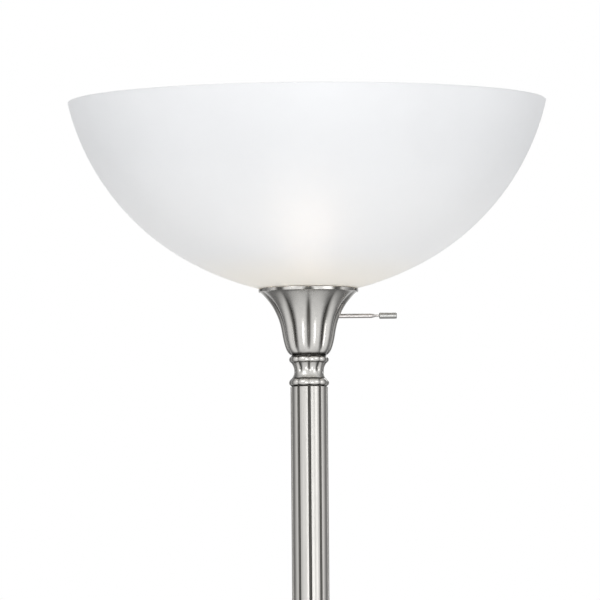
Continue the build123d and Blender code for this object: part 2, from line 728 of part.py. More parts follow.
def pivot_bolt():
    """A round-headed bolt along Y through a fork, long enough for its thumb nut."""
    bolt = pivot_bar(pin_radius, -fork_outer, fork_outer + thumb_nut_thickness + side_gap)
    head = chamfered_rims(disc(bolt_head_radius, bolt_head_thickness, fork_outer + seat_gap), 0.9)
    return bolt + Rot(90, 0, 0) * head + pivot_bar(pin_radius, -fork_outer - seat_gap - 1, -fork_outer)


def friction_washers():
    """The two thin washers beside a tongue."""
    washer = disc(tongue_radius - 1, friction_washer, bore=pin_radius + seat_gap)
    start = tongue_thickness / 2 + side_gap
    return [Rot(-90, 0, 0) * Pos(0, 0, start) * washer, Rot(90, 0, 0) * Pos(0, 0, start) * washer]


def thumb_nut():
    """The lobed nut that a thumb and finger turn to set the friction."""
    start = fork_outer + side_gap
    body = chamfered_rims(disc(thumb_nut_radius, thumb_nut_thickness, start), 0.8)
    scallop = Pos(thumb_nut_radius + 0.6, 0, start) * Cylinder(1.4, 4 * thumb_nut_thickness)
    step = 360.0 / thumb_nut_lobes
    body -= [Rot(0, 0, step * lobe) * scallop for lobe in range(thumb_nut_lobes)]
    body -= disc(pin_radius + running_gap, thumb_nut_thickness + 4, start - 1)
    return Rot(-90, 0, 0) * body


def swivel_collar():
    """The ring that turns on the hub's journal, with the fork that holds the arm."""
    height = journal_height - 2 * (swivel_washer_thickness + side_gap)
    low = journal_z + swivel_washer_thickness + side_gap
    ring = chamfered_rims(disc(collar_radius, height, low), 1.2)
    ears = Pos(-arm_pivot_out, 0, pivot_z) * fork(arm_pivot_out, pin_radius + seat_gap)
    body = ring + (ears - disc(collar_radius - 2, 4 * height, low - height))
    return body - disc(journal_radius + running_gap, height + 2, low - 1)


def arm_path():
    """The arm's centre line from inside the lower ferrule to inside the head's ferrule."""
    up = Vector(-cos(radians(arm_rise)), 0, sin(radians(arm_rise)))
    start = Vector(-arm_pivot_out, 0, pivot_z) + up * (tongue_neck + tube_seat_depth)
    with BuildLine(Plane.XZ) as path:
        corner = start + up * arm_straight
        first = Line((start.X, start.Z), (corner.X, corner.Z))
        bend = JernArc(first @ 1, first % 1, arm_bend_radius, arm_turn)
        Line(bend @ 1, bend @ 1 + (bend % 1) * arm_tail)
    return path.wire()


def arm_tube():
    """The bent tube of the arm."""
    path = arm_path()
    ring = Circle(arm_tube_radius) - Circle(arm_tube_radius - arm_tube_wall)
    return sweep(Plane(origin=path @ 0, z_dir=path % 0) * ring, path=path)


def head_pivot():
    """The head's pivot, past the end of the arm's tube."""
    path = arm_path()
    return path @ 1 + (path % 1) * (fork_bridge + tube_seat_depth)


def arm_lower_tongue():
    """The tongue and ferrule at the arm's lower end."""
    return Pos(-arm_pivot_out, 0, pivot_z) * Rot(0, arm_rise, 0) * tongue()


def tube_socket():
    """The bore of a ferrule along +X, whose root is the fork's or the tongue's own."""
    return Rot(0, 90, 0) * disc(arm_tube_radius + seat_gap, ferrule_length, tube_seat_depth - seat_gap)


def arm_head_fork():
    """The ferrule and fork at the arm's upper end."""
    piece = fork(fork_bridge, pin_radius + seat_gap)
    piece += Rot(0, 90, 0) * chamfered_rims(disc(ferrule_radius, ferrule_length, fork_bridge), 0.8)
    piece -= Pos(fork_bridge, 0, 0) * tube_socket()
    return Pos(head_pivot()) * Rot(0, arm_rise - arm_turn, 0) * piece


def in_head(piece):
    """Turns a piece that is built upright on the head's pivot so that it hangs from the arm."""
    return Pos(head_pivot()) * Rot(0, 180, 0) * piece


def head_knuckle():
    """The tongue and turned boss that carry the reading cup."""
    neck = Pos(0, tongue_neck / 2) * Rectangle(tongue_width, tongue_neck)
    body = extrude(Plane.XZ * (Circle(tongue_radius) + neck), tongue_thickness / 2, both=True)
    start, drop, edge = tongue_neck - 1, head_boss_drop, head_boss_radius - 0.7
    with BuildSketch(Plane.XZ) as half:
        with BuildLine():
            Polyline((8.5, start), (0, start), (0, drop), (edge, drop))
            ThreePointArc((edge, drop), (head_boss_radius, drop - 2), (edge - 0.7, drop - 3.6))
            ThreePointArc((edge - 0.7, drop - 3.6), (10.4, start + 3.4), (8.5, start))
        make_face()
    body += revolve(half.sketch, Axis.Z)
    body -= disc(nipple_radius + seat_gap, nipple_sink + 2, drop - nipple_sink - 0.5)
    return body - pivot_bar(pin_radius + running_gap, -tongue_thickness, tongue_thickness)


# ---------------------------------------------------------------- the two lights
@dataclass(frozen=True)
class Light:
    """The sizes that set one light apart from the other, measured from its cup's underside."""

    name: str
    place: object
    seat: float             # height of the glass's seat, which is the cup's height
    rim: float              # radius of the cup's rim
    lip_rise: float         # how far the cup's lip rises past the seat to meet the glass
    switch_z: float
    rod_shoulder: float
    glass: object
    glass_wall: float
    bulb_radius: float
    bulb_length: float

    @property
    def contact_z(self):
        """Height of the socket's contact."""
        return self.seat - contact_drop

    @property
    def bulb_z(self):
        """Height of the bulb's tip."""
        return self.contact_z + contact_thickness + bulb_tip_gap

    @property
    def plate_radius(self):
        """Radius of the seat plate, which lies just inside the cup's flare."""
        low = self.seat - gasket_thickness - seat_plate_thickness
        inside = [(z, crest - groove - cup_wall) for z, crest, groove in cup_profile(self)]
        below = [point for point in inside if point[0] <= low][-1]
        above = [point for point in inside if point[0] > low][0]
        share = (low - below[0]) / (above[0] - below[0])
        return below[1] + (above[1] - below[1]) * share - plate_gap


def on_column(piece):
    """Stands a piece of the main light on the column's neck."""
    return Pos(0, 0, cup_z) * piece


def on_head(piece):
    """Hangs a piece of the reading light from the head's boss."""
    return in_head(Pos(0, 0, head_boss_drop) * piece)


def lock_nut():
    """The nut that holds a cup down on its nipple."""
    return hexagon_nut(lock_nut_thickness, nipple_radius + seat_gap, cup_floor + washer_thickness)


def lock_washer(radius, z):
    """A plain washer round a nipple, its lower face at height z."""
    return disc(radius, washer_thickness, z, bore=nipple_radius + seat_gap)


def write(name, *solids):
    """Writes one node as parts/NAME.step."""
    shape = solids[0] if len(solids) == 1 else Compound(children=list(solids))
    export_step(shape, os.path.join("parts", name + ".step"))


def write_light(light):
    """Writes the cup, socket, switch, bulb and glass of one light."""
    pieces = {
        "cup": fluted_cup(light),
        "socket_cap": socket_cap(),
        "socket_body": socket_body(light),
        "screw_shell": screw_shell(light),
        "socket_contact": centre_contact(light),
        "seat_plate": seat_plate(light),
        "gasket": gasket(light),
        "shade_ring": shade_ring(light),
        "bulb_cap": bulb_cap(light),
        "bulb_glass": bulb_glass(light),
        "switch_cam": switch_cam(light),
        "switch_rod": switch_rod(light),
        "switch_knob": switch_knob(light),
        "glass": Pos(0, 0, light.seat) * light.glass,
    }
    for name, piece in pieces.items():
        write(light.name + "_" + name, light.place(piece))


main_light = Light(
    name="main",
    place=on_column,
    seat=main_cup_height,
    rim=main_cup_rim,
    lip_rise=rise(bowl_side()[0], main_cup_rim - lip_width) - seat_gap,
    switch_z=switch_height,
    rod_shoulder=main_rod_shoulder,
    glass=bowl_glass(),
    glass_wall=bowl_wall,
    bulb_radius=main_bulb_radius,
    bulb_length=main_bulb_length,
)
reading_light = Light(
    name="reading",
    place=on_head,
    seat=reading_cup_height,
    rim=reading_cup_rim,
    lip_rise=rise(bell_side(), reading_cup_rim - lip_width) - seat_gap,
    switch_z=reading_switch_height,
    rod_shoulder=reading_rod_shoulder,
    glass=bell_glass(),
    glass_wall=bell_wall,
    bulb_radius=reading_bulb_radius,
    bulb_length=reading_bulb_length,
)

# ---------------------------------------------------------------- base and column, with the main light
washer_z = pad_thickness + base_nut_pocket_depth - washer_thickness
insert_heights = (lower_tube_z, ring_z - insert_length, middle_tube_z, hub_z - insert_length, upper_tube_z,
                  neck_z - insert_length)
nipple_ends = (
    (pad_thickness + nipple_foot, lower_tube_z + nipple_reach),
    (ring_z - nipple_reach, middle_tube_z + nipple_reach),
    (hub_z - nipple_reach, upper_tube_z + nipple_reach), (neck_z - nipple_reach, cup_z + nipple_top))
write("base_pad", base_pad())
write("base_weight", base_weight())
write("base_shell", base_shell())
write("cord_inlet", cord_inlet())
write("base_collar", base_collar())
write("lower_tube", column_tube(lower_tube_z, lower_tube_length))
write("column_ring", column_ring())
write("middle_tube", column_tube(middle_tube_z, middle_tube_length))
write("hub_lower", hub_lower())
write("hub_upper", hub_upper())
write("swivel_washers", swivel_washer(journal_z), swivel_washer(hub_cap_z - swivel_washer_thickness))
write("upper_tube", column_tube(upper_tube_z, upper_tube_length))
write("column_neck", column_neck())
write("tube_inserts", *[tube_insert(z) for z in insert_heights])
write("column_nipples", *[nipple(low, high) for low, high in nipple_ends])
write("column_nuts",
      hexagon_nut(lock_nut_thickness, nipple_radius + seat_gap, washer_z - lock_nut_thickness),
      on_column(lock_nut()))
write("column_washers", lock_washer(base_washer_radius, washer_z),
      on_column(lock_washer(cup_washer_radius, cup_floor)))
write_light(main_light)

# ---------------------------------------------------------------- reading arm and its light
lower_pivot = Pos(-arm_pivot_out, 0, pivot_z)
upper_pivot = Pos(head_pivot())
write("swivel_collar", swivel_collar())
write("arm_bolt", lower_pivot * pivot_bolt())
write("arm_thumb_nut", lower_pivot * thumb_nut())
write("arm_washers", *[lower_pivot * washer for washer in friction_washers()])
write("arm_tongue", arm_lower_tongue())
write("arm_tube", arm_tube())
write("arm_fork", arm_head_fork())
write("head_bolt", upper_pivot * pivot_bolt())
write("head_thumb_nut", upper_pivot * thumb_nut())
write("head_washers", *[upper_pivot * washer for washer in friction_washers()])
write("head_knuckle", in_head(head_knuckle()))
write("head_nipple", in_head(nipple(head_boss_drop - nipple_sink, head_boss_drop + nipple_top)))
write("head_lock_nut", on_head(lock_nut()))
write("head_lock_washer", on_head(lock_washer(cup_washer_radius, cup_floor)))
write_light(reading_light)

print("the arm bends at a radius of", arm_bend_radius, "and the head's pivot is at", head_pivot())
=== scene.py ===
"""Looks of a torchiere floor lamp with a reading light.

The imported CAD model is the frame. This file gives each of its nodes a finish, models the bowl glass,
both fluted cups and the beaded neck again as fine meshes, and sets the studio, its light and the
camera. Lengths are metres, unless a docstring says millimetres.
"""

import json
import logging
import math
from dataclasses import dataclass, field
from enum import Enum
from functools import cached_property
from typing import ClassVar, Optional, Sequence

import bpy
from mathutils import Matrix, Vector

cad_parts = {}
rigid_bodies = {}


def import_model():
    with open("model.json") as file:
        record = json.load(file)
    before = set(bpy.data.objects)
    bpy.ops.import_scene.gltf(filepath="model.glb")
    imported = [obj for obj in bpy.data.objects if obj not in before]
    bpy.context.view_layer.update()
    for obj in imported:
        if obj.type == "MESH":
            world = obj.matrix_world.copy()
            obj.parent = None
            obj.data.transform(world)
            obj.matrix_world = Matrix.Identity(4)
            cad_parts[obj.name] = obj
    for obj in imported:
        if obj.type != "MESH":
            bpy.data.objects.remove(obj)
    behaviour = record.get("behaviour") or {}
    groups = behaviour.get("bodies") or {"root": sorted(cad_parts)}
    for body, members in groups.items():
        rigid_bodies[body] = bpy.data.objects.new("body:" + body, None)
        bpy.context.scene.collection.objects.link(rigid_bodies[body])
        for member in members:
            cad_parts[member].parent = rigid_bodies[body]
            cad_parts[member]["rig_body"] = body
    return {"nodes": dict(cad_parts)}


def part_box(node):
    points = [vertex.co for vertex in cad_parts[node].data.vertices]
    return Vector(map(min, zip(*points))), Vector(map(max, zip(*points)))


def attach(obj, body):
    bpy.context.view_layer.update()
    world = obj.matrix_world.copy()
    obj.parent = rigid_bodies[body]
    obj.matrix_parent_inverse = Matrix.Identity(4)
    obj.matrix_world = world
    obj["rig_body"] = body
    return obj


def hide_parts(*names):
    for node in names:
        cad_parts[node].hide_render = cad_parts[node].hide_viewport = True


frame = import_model()

log = logging.getLogger("torchiere")

MM = 0.001

Colour = tuple[float, float, float]
Point = tuple[float, float, float]
Socket = bpy.types.NodeSocket

BLACK: Colour = (0.0, 0.0, 0.0)
NOISE_RANGE = (0.3, 0.7)  # nearly all of a noise texture's values


# ---------------------------------------------------------------- shader helpers and groups
class Grain(Enum):
    """The way a metal's fine lines run: the scale of their noise along X, Y and Z.

    Turned lines run round an upright axis instead, and have no such scale.
    """

    LENGTHWISE_Z = (1.0, 1.0, 0.012)
    LENGTHWISE_X = (0.02, 1.0, 1.0)
    NONE = (0.4, 0.4, 0.4)
    TURNED = None


def shaded(colour: Colour, share: float) -> Colour:
    """A colour made darker, or lighter with a share over 1, but never past white."""
    return tuple(min(1.0, value * share) for value in colour)


class NodeTree:
    """A thin helper that adds nodes to a shader tree and wires them.

    Args:
        tree: The material's, the world's or the group's node tree.
    """

    def __init__(self, tree: bpy.types.NodeTree) -> None:
        """Keeps the tree."""
        self.tree = tree

    @classmethod
    def emptied(cls, owner: bpy.types.Material | bpy.types.World) -> "NodeTree":
        """Turns on a material's or the world's nodes and removes the ones it starts with.

        Args:
            owner: The material or the world.

        Returns:
            The helper for its empty tree.
        """
        owner.use_nodes = True
        owner.node_tree.nodes.clear()
        return cls(owner.node_tree)

    def feed(self, node: bpy.types.Node, inputs: dict) -> None:
        """Sets or wires a node's inputs.

        Args:
            node: The node.
            inputs: Values or sockets for its inputs, by name or index.
        """
        for name, value in inputs.items():
            if isinstance(value, Socket):
                self.tree.links.new(value, node.inputs[name])
            else:
                node.inputs[name].default_value = value

    def add(self, kind: str, inputs: Optional[dict] = None, **settings: object) -> bpy.types.Node:
        """Adds one node.

        Args:
            kind: The node's type name without its "ShaderNode".
            inputs: Values or sockets for its inputs, by name or index.
            **settings: Attributes of the node.

        Returns:
            The new node.
        """
        node = self.tree.nodes.new(kind if kind.startswith("NodeGroup") else "ShaderNode" + kind)
        for name, value in settings.items():
            setattr(node, name, value)
        self.feed(node, inputs or {})
        return node

    def group(self, tree: bpy.types.NodeTree, inputs: dict) -> bpy.types.bpy_prop_collection:
        """Places a shader group.

        Args:
            tree: The group.
            inputs: Values or sockets for its inputs, by name.

        Returns:
            The group's outputs.
        """
        return self.add("Group", inputs, node_tree=tree).outputs

    def maths(self, operation: str, *values: object) -> Socket:
        """Adds a Math node.

        Args:
            operation: The node's operation.
            *values: Its inputs in order, numbers or sockets.

        Returns:
            The result's socket.
        """
        return self.add("Math", dict(enumerate(values)), operation=operation).outputs[0]

    def scaled(self, vector: Socket, scale: object) -> Socket:
        """A vector times a number."""
        return self.add("VectorMath", {0: vector, "Scale": scale}, operation="SCALE").outputs[0]

    def length(self, vector: Socket) -> Socket:
        """A vector's length."""
        return self.add("VectorMath", {0: vector}, operation="LENGTH").outputs["Value"]

    def parts(self, vector: Socket) -> bpy.types.bpy_prop_collection:
        """A vector's X, Y and Z."""
        return self.add("SeparateXYZ", {0: vector}).outputs

    def radius(self, vector: Socket) -> Socket:
        """How far a vector reaches from the Z axis.

        Args:
            vector: The vector's socket.

        Returns:
            The radius's socket.
        """
        across, along, _ = self.parts(vector)
        squares = [self.maths("MULTIPLY", part, part) for part in (across, along)]
        return self.maths("SQRT", self.maths("ADD", *squares))

    def bearing(self, vector: Socket) -> Socket:
        """A vector's angle round the Z axis, in radians."""
        across, along, _ = self.parts(vector)
        return self.maths("ARCTAN2", along, across)

    def remap(self, value: Socket, low: float, high: float, to_low: float, to_high: float,
              smooth: bool = False) -> Socket:
        """Maps a value from one range to another and clamps it.

        Args:
            value: The value's socket.
            low: Where the range starts.
            high: Where the range ends.
            to_low: What the start becomes.
            to_high: What the end becomes.
            smooth: Whether the step between them is an S curve.

        Returns:
            The mapped value's socket.
        """
        node = self.add("MapRange",
                        {"Value": value, "From Min": low, "From Max": high, "To Min": to_low,
                         "To Max": to_high},
                        interpolation_type="SMOOTHSTEP" if smooth else "LINEAR")
        return node.outputs["Result"]

    def around(self, noise: Socket, middle: float, spread: float) -> Socket:
        """Turns a noise value into a number that wavers about a middle.

        Args:
            noise: The noise value's socket.
            middle: The middle.
            spread: How far it wavers, as a share of the middle.

        Returns:
            The number's socket.
        """
        return self.remap(noise, *NOISE_RANGE, middle * (1 - spread), middle * (1 + spread))

    def share(self, noise: Socket) -> Socket:
        """Spreads a noise value over 0 to 1."""
        return self.remap(noise, *NOISE_RANGE, 0.0, 1.0)

    def noise(self, vector: Socket, scale: float, detail: float = 3.0, rough: float = 0.55) -> Socket:
        """Adds a noise texture.

        Args:
            vector: Where it is read.
            scale: Its scale.
            detail: Its number of octaves.
            rough: How strong the finer octaves are.

        Returns:
            The noise value's socket.
        """
        node = self.add("TexNoise",
                        {"Vector": vector, "Scale": scale, "Detail": detail, "Roughness": rough})
        return node.outputs["Fac"]

    def mix(self, share: Socket, first: object, second: object) -> Socket:
        """Mixes two colours by a share.

        Args:
            share: 0 gives the first, 1 the second.
            first: A colour or a socket.
            second: A colour or a socket.

        Returns:
            The mixed colour's socket.
        """
        colours = [value if isinstance(value, Socket) else (*value, 1.0) for value in (first, second)]
        return self.add("Mix", {0: share, 6: colours[0], 7: colours[1]}, data_type="RGBA").outputs[2]

    def bump(self, height: Socket, strength: float, distance: float) -> Socket:
        """Adds a Bump node.

        Args:
            height: The height's socket.
            strength: Its strength.
            distance: How far a height of 1 stands out.

        Returns:
            The bent normal's socket.
        """
        return self.add("Bump", {"Height": height, "Strength": strength,
                                 "Distance": distance}).outputs[0]


class GroupShelf:
    """The shader groups that more than one finish uses, each built once.

    Each group reads a vector whose origin lies on the piece's axis.
    """

    LINE_SCALE = 2600.0
    TONE_SCALE = 700.0
    BEARING_PULL = 0.0006

    def _group(self, name: str, inputs: dict[str, object],
               outputs: Sequence[str]) -> tuple[NodeTree, bpy.types.Node, bpy.types.Node]:
        """Starts a group with its sockets, the first of which is Vector.

        Args:
            name: The group's name.
            inputs: The default of each further input, a number or a vector.
            outputs: Names of the outputs, all of them values.

        Returns:
            The helper for its tree, its input node and its output node.
        """
        tree = bpy.data.node_groups.new(name, "ShaderNodeTree")
        tree.interface.new_socket(name="Vector", in_out="INPUT", socket_type="NodeSocketVector")
        for label, default in inputs.items():
            kind = "NodeSocketVector" if isinstance(default, tuple) else "NodeSocketFloat"
            made = tree.interface.new_socket(name=label, in_out="INPUT", socket_type=kind)
            made.default_value = default
        for label in outputs:
            tree.interface.new_socket(name=label, in_out="OUTPUT", socket_type="NodeSocketFloat")
        nodes = NodeTree(tree)
        return nodes, nodes.add("NodeGroupInput"), nodes.add("NodeGroupOutput")

    def _lines(self, nodes: NodeTree, vector: Socket, result: bpy.types.Node) -> None:
        """Ends a grain group: fine noise for its height, coarser noise for its tone.

        Args:
            nodes: The group's helper.
            vector: Where both are read.
            result: The group's output node.
        """
        nodes.feed(result, {"Height": nodes.noise(vector, self.LINE_SCALE, 2.0, 0.6),
                            "Tone": nodes.noise(vector, self.TONE_SCALE, 4.0, 0.65)})

    @cached_property
    def lengthwise_grain(self) -> bpy.types.NodeTree:
        """Fine drawn lines: noise pulled long along one axis.

        Returns:
            The group, with the inputs Vector and Pull (a scale for each axis) and the outputs Height
            and Tone.
        """
        nodes, source, result = self._group("lengthwise_grain", {"Pull": (1.0, 1.0, 0.01)},
                                            ["Height", "Tone"])
        pulled = nodes.add("VectorMath", {0: source.outputs["Vector"], 1: source.outputs["Pull"]},
                           operation="MULTIPLY").outputs[0]
        self._lines(nodes, pulled, result)
        return nodes.tree

    @cached_property
    def turned_grain(self) -> bpy.types.NodeTree:
        """Fine lathe lines round an upright axis.

        Returns:
            The group, with the input Vector and the outputs Height and Tone.
        """
        nodes, source, result = self._group("turned_grain", {}, ["Height", "Tone"])
        spot = source.outputs["Vector"]
        along = nodes.maths("MULTIPLY", nodes.bearing(spot), self.BEARING_PULL)
        polar = nodes.add("CombineXYZ", {0: nodes.radius(spot), 1: along, 2: nodes.parts(spot)[2]})
        self._lines(nodes, polar.outputs[0], result)
        return nodes.tree

    @cached_property
    def handling(self) -> bpy.types.NodeTree:
        """Faint smudges and dust left by hands and air.

        Returns:
            The group, with the inputs Vector and Size and the outputs Smudge and Dust.
        """
        nodes, source, result = self._group("handling", {"Size": 1.0}, ["Smudge", "Dust"])
        spread = nodes.scaled(source.outputs["Vector"], source.outputs["Size"])
        cloud = nodes.noise(spread, 22.0, 5.0, 0.6)
        grit = nodes.noise(spread, 950.0, 2.0, 0.5)
        nodes.feed(result, {"Smudge": nodes.remap(cloud, 0.42, 0.72, 0.0, 1.0, smooth=True),
                            "Dust": nodes.remap(grit, 0.60, 0.78, 0.0, 1.0)})
        return nodes.tree

    @cached_property
    def screw_thread(self) -> bpy.types.NodeTree:
        """The ridges of a screw thread round an upright axis.

        Returns:
            The group, with the inputs Vector and Pitch and the output Height.
        """
        nodes, source, result = self._group("screw_thread", {"Pitch": 0.001}, ["Height"])
        spot = source.outputs["Vector"]
        turn = nodes.maths("DIVIDE", nodes.bearing(spot), 2 * math.pi)
        climb = nodes.maths("DIVIDE", nodes.parts(spot)[2], source.outputs["Pitch"])
        ridge = nodes.maths("PINGPONG", nodes.maths("ADD", climb, turn), 0.5)
        nodes.feed(result, {"Height": nodes.maths("MULTIPLY", ridge, 2.0)})
        return nodes.tree


shelf = GroupShelf()


# ---------------------------------------------------------------- finishes
class Finish:
    """What every finish shares: one material, made when it is first asked for."""

    name: str

    def _start(self) -> tuple[bpy.types.Material, NodeTree, bpy.types.Node]:
        """Starts the material with a Principled shader.

        Returns:
            The material, the helper for its tree, and the shader node.
        """
        material = bpy.data.materials.new(self.name)
        nodes = NodeTree.emptied(material)
        shader = nodes.add("BsdfPrincipled")
        nodes.add("OutputMaterial", {"Surface": shader.outputs[0]})
        return material, nodes, shader

    def _place(self, nodes: NodeTree, centre: Point) -> Socket:
        """Object coordinates measured from a piece's axis.

        Args:
            nodes: The material's helper.
            centre: The point on the axis, in the frame.

        Returns:
            The coordinates' socket.
        """
        spot = nodes.add("TexCoord").outputs["Object"]
        return nodes.add("Mapping", {"Vector": spot, "Location": tuple(-Vector(centre))}).outputs[0]

    def material(self) -> bpy.types.Material:
        """The finish's material, made once."""
        return bpy.data.materials.get(self.name) or self.make()

    def make(self) -> bpy.types.Material:
        """Builds the material."""
        raise NotImplementedError


@dataclass(frozen=True)
class PlatedMetal(Finish):
    """Brushed or polished plate over metal, under a thin lacquer.

    Args:
        name: The material's name.
        colour: The plate's colour.
        roughness: Its middle roughness.
        grain: The way its fine lines run.
        line_depth: How deep they are.
        tone: How much darker the plate is where its tone is lowest, as a share.
        centre: A point on the piece's axis.
        groove_dirt_and_shade: The colour of the grooves' bottoms: painted shade, with some dirt.
        recess_from: The radius, or the value of recess_map, at which the groove colour ends or starts.
        recess_to: The radius or value at the other end of that step.
        recess_map: The piece's attribute that tells its grooves and its painted shade; otherwise its radius
            does.
    """

    LIFT: ClassVar[float] = 0.6  # the lightest tone's share of what the darkest takes away
    WAVER: ClassVar[float] = 0.12
    SMUDGE_ROUGHNESS: ClassVar[float] = 0.05
    LINE_STRENGTH: ClassVar[float] = 0.5
    LACQUER: ClassVar[dict[str, float]] = {"Coat Weight": 0.08, "Coat Roughness": 0.12}

    name: str
    colour: Colour
    roughness: float
    grain: Grain = Grain.TURNED
    line_depth: float = 0.00002
    tone: float = 0.10
    centre: Point = (0.0, 0.0, 0.0)
    groove_dirt_and_shade: Optional[Colour] = None
    recess_from: float = 0.0
    recess_to: float = 0.0
    recess_map: str = ""

    def _lines(self, nodes: NodeTree, spot: Socket) -> tuple[Socket, Socket]:
        """The grain's height and tone.

        Args:
            nodes: The material's helper.
            spot: The coordinates' socket.

        Returns:
            The sockets of its height and its tone.
        """
        if self.grain is Grain.TURNED:
            lines = nodes.group(shelf.turned_grain, {"Vector": spot})
        else:
            lines = nodes.group(shelf.lengthwise_grain, {"Vector": spot, "Pull": self.grain.value})
        return lines["Height"], lines["Tone"]

    def _recess(self, nodes: NodeTree, spot: Socket) -> Socket:
        """How much of the grooves' painted shade a point takes, from its radius or from the piece's own
        attribute.

        Args:
            nodes: The material's helper.
            spot: The coordinates' socket.

        Returns:
            The socket of a share, 1 at a groove's bottom.
        """
        if self.recess_map:
            depth = nodes.add("Attribute", attribute_name=self.recess_map).outputs["Fac"]
            return nodes.remap(depth, self.recess_from, self.recess_to, 0.0, 1.0, smooth=True)
        return nodes.remap(nodes.radius(spot), self.recess_from, self.recess_to, 1.0, 0.0, smooth=True)

    def make(self) -> bpy.types.Material:
        """Builds the metal: lines, tone, smudges, and painted shade with some dirt at the bottom of the
        grooves.

        Returns:
            The material.
        """
        material, nodes, shader = self._start()
        spot = self._place(nodes, self.centre)
        height, tone = self._lines(nodes, spot)
        touch = nodes.group(shelf.handling, {"Vector": spot})
        face = nodes.mix(nodes.share(tone), shaded(self.colour, 1 - self.tone),
                         shaded(self.colour, 1 + self.tone * self.LIFT))
        # Painted shade, with some dirt, darkens the bottoms of the grooves.
        if self.groove_dirt_and_shade is not None:
            face = nodes.mix(self._recess(nodes, spot), face, self.groove_dirt_and_shade)
        even = nodes.around(tone, self.roughness, self.WAVER)
        worn = nodes.maths("MULTIPLY", touch["Smudge"], self.SMUDGE_ROUGHNESS)
        nodes.feed(shader, {"Base Color": face,
                            "Roughness": nodes.maths("ADD", even, worn),
                            "Normal": nodes.bump(height, self.LINE_STRENGTH, self.line_depth),
                            "Metallic": 1.0, **self.LACQUER})
        return material


@dataclass(frozen=True)
class ThreadedMetal(Finish):
    """Plain metal with a rolled thread on its outside.

    Args:
        name: The material's name.
        colour: The metal's colour.
        pitch: The thread's pitch.
        roughness: Its roughness where it is clean.
        centre: A point on the piece's axis.
    """

    # Share of the colour left in the thread's roots: painted shade.
    ROOT_SHADE: ClassVar[float] = 0.55
    SMUDGE_SHADE: ClassVar[float] = 0.85
    SMUDGE_ROUGHNESS: ClassVar[float] = 0.14

    name: str
    colour: Colour
    pitch: float
    roughness: float = 0.34
    centre: Point = (0.0, 0.0, 0.0)

    def make(self) -> bpy.types.Material:
        """Builds the metal, its thread with painted shade in its roots, and its patchy plate.

        Returns:
            The material.
        """
        material, nodes, shader = self._start()
        spot = self._place(nodes, self.centre)
        thread = nodes.group(shelf.screw_thread, {"Vector": spot, "Pitch": self.pitch})["Height"]
        smudge = nodes.group(shelf.handling, {"Vector": spot, "Size": 3.0})["Smudge"]
        flank = nodes.remap(thread, 0.0, 0.45, 0.0, 1.0)
        face = nodes.mix(flank, shaded(self.colour, self.ROOT_SHADE), self.colour)
        rough = nodes.maths("MULTIPLY_ADD", smudge, self.SMUDGE_ROUGHNESS, self.roughness)
        nodes.feed(shader, {"Base Color": nodes.mix(smudge, face, shaded(self.colour, self.SMUDGE_SHADE)),
                            "Roughness": rough,
                            "Normal": nodes.bump(thread, 0.9, self.pitch * 0.5),
                            "Metallic": 1.0})
        return material


@dataclass(frozen=True)
class OpalGlass(Finish):
    """Milk glass with an etched face that lets a little of the bulb's glow through. Its foot takes
    painted warm light and a painted glow.

    Args:
        name: The material's name.
        warm_low: The height where the foot's painted warm light is full.
        warm_high: The height where it has faded.
        colour: The glass's colour.
        warm: The colour of the painted warm light at its foot.
        roughness: Its middle roughness.
        transmission: How much light goes straight through.
        glow: The painted bulb light that it gives off at its foot.
        glow_low: The height up to which that is full.
        glow_high: The height where it has faded.
    """

    CLOUD_SCALE: ClassVar[float] = 9.0
    CLOUD_SHADE: ClassVar[float] = 0.975
    ETCH_SCALE: ClassVar[float] = 1800.0
    ETCH_DEPTH: ClassVar[float] = 0.00005

    name: str
    warm_low: float
    warm_high: float
    colour: Colour = (0.905, 0.91, 0.92)
    warm: Colour = (0.95, 0.92, 0.86)
    roughness: float = 0.42
    transmission: float = 0.22
    glow: Colour = BLACK
    glow_low: float = 0.0
    glow_high: float = 1.0

    def make(self) -> bpy.types.Material:
        """Builds the glass: a faint cloudiness, painted warm light at its foot, a fine etched face and the
        painted glow.

        Returns:
            The material.
        """
        material, nodes, shader = self._start()
        spot = nodes.add("TexCoord").outputs["Object"]
        height = nodes.parts(spot)[2]
        # painted warm light near the seat
        foot = nodes.remap(height, self.warm_low, self.warm_high, 1.0, 0.0, smooth=True)
        cloud = nodes.remap(nodes.noise(spot, self.CLOUD_SCALE, 4.0), 0.35, 0.7, 0.0, 1.0, smooth=True)
        etch = nodes.noise(spot, self.ETCH_SCALE, 2.0)
        # painted glow of the bulb, full at the foot and fading upward
        lit = nodes.remap(height, self.glow_low, self.glow_high, 1.0, 0.0, smooth=True)
        cloudy = nodes.mix(cloud, self.colour, shaded(self.colour, self.CLOUD_SHADE))
        nodes.feed(shader, {"Base Color": nodes.mix(foot, cloudy, self.warm),
                            "Roughness": nodes.around(etch, self.roughness, 0.08),
                            "Normal": nodes.bump(etch, 0.12, self.ETCH_DEPTH),
                            "Emission Color": nodes.mix(lit, BLACK, self.glow),
                            "Emission Strength": 1.0, "IOR": 1.45,
                            "Transmission Weight": self.transmission})
        return material


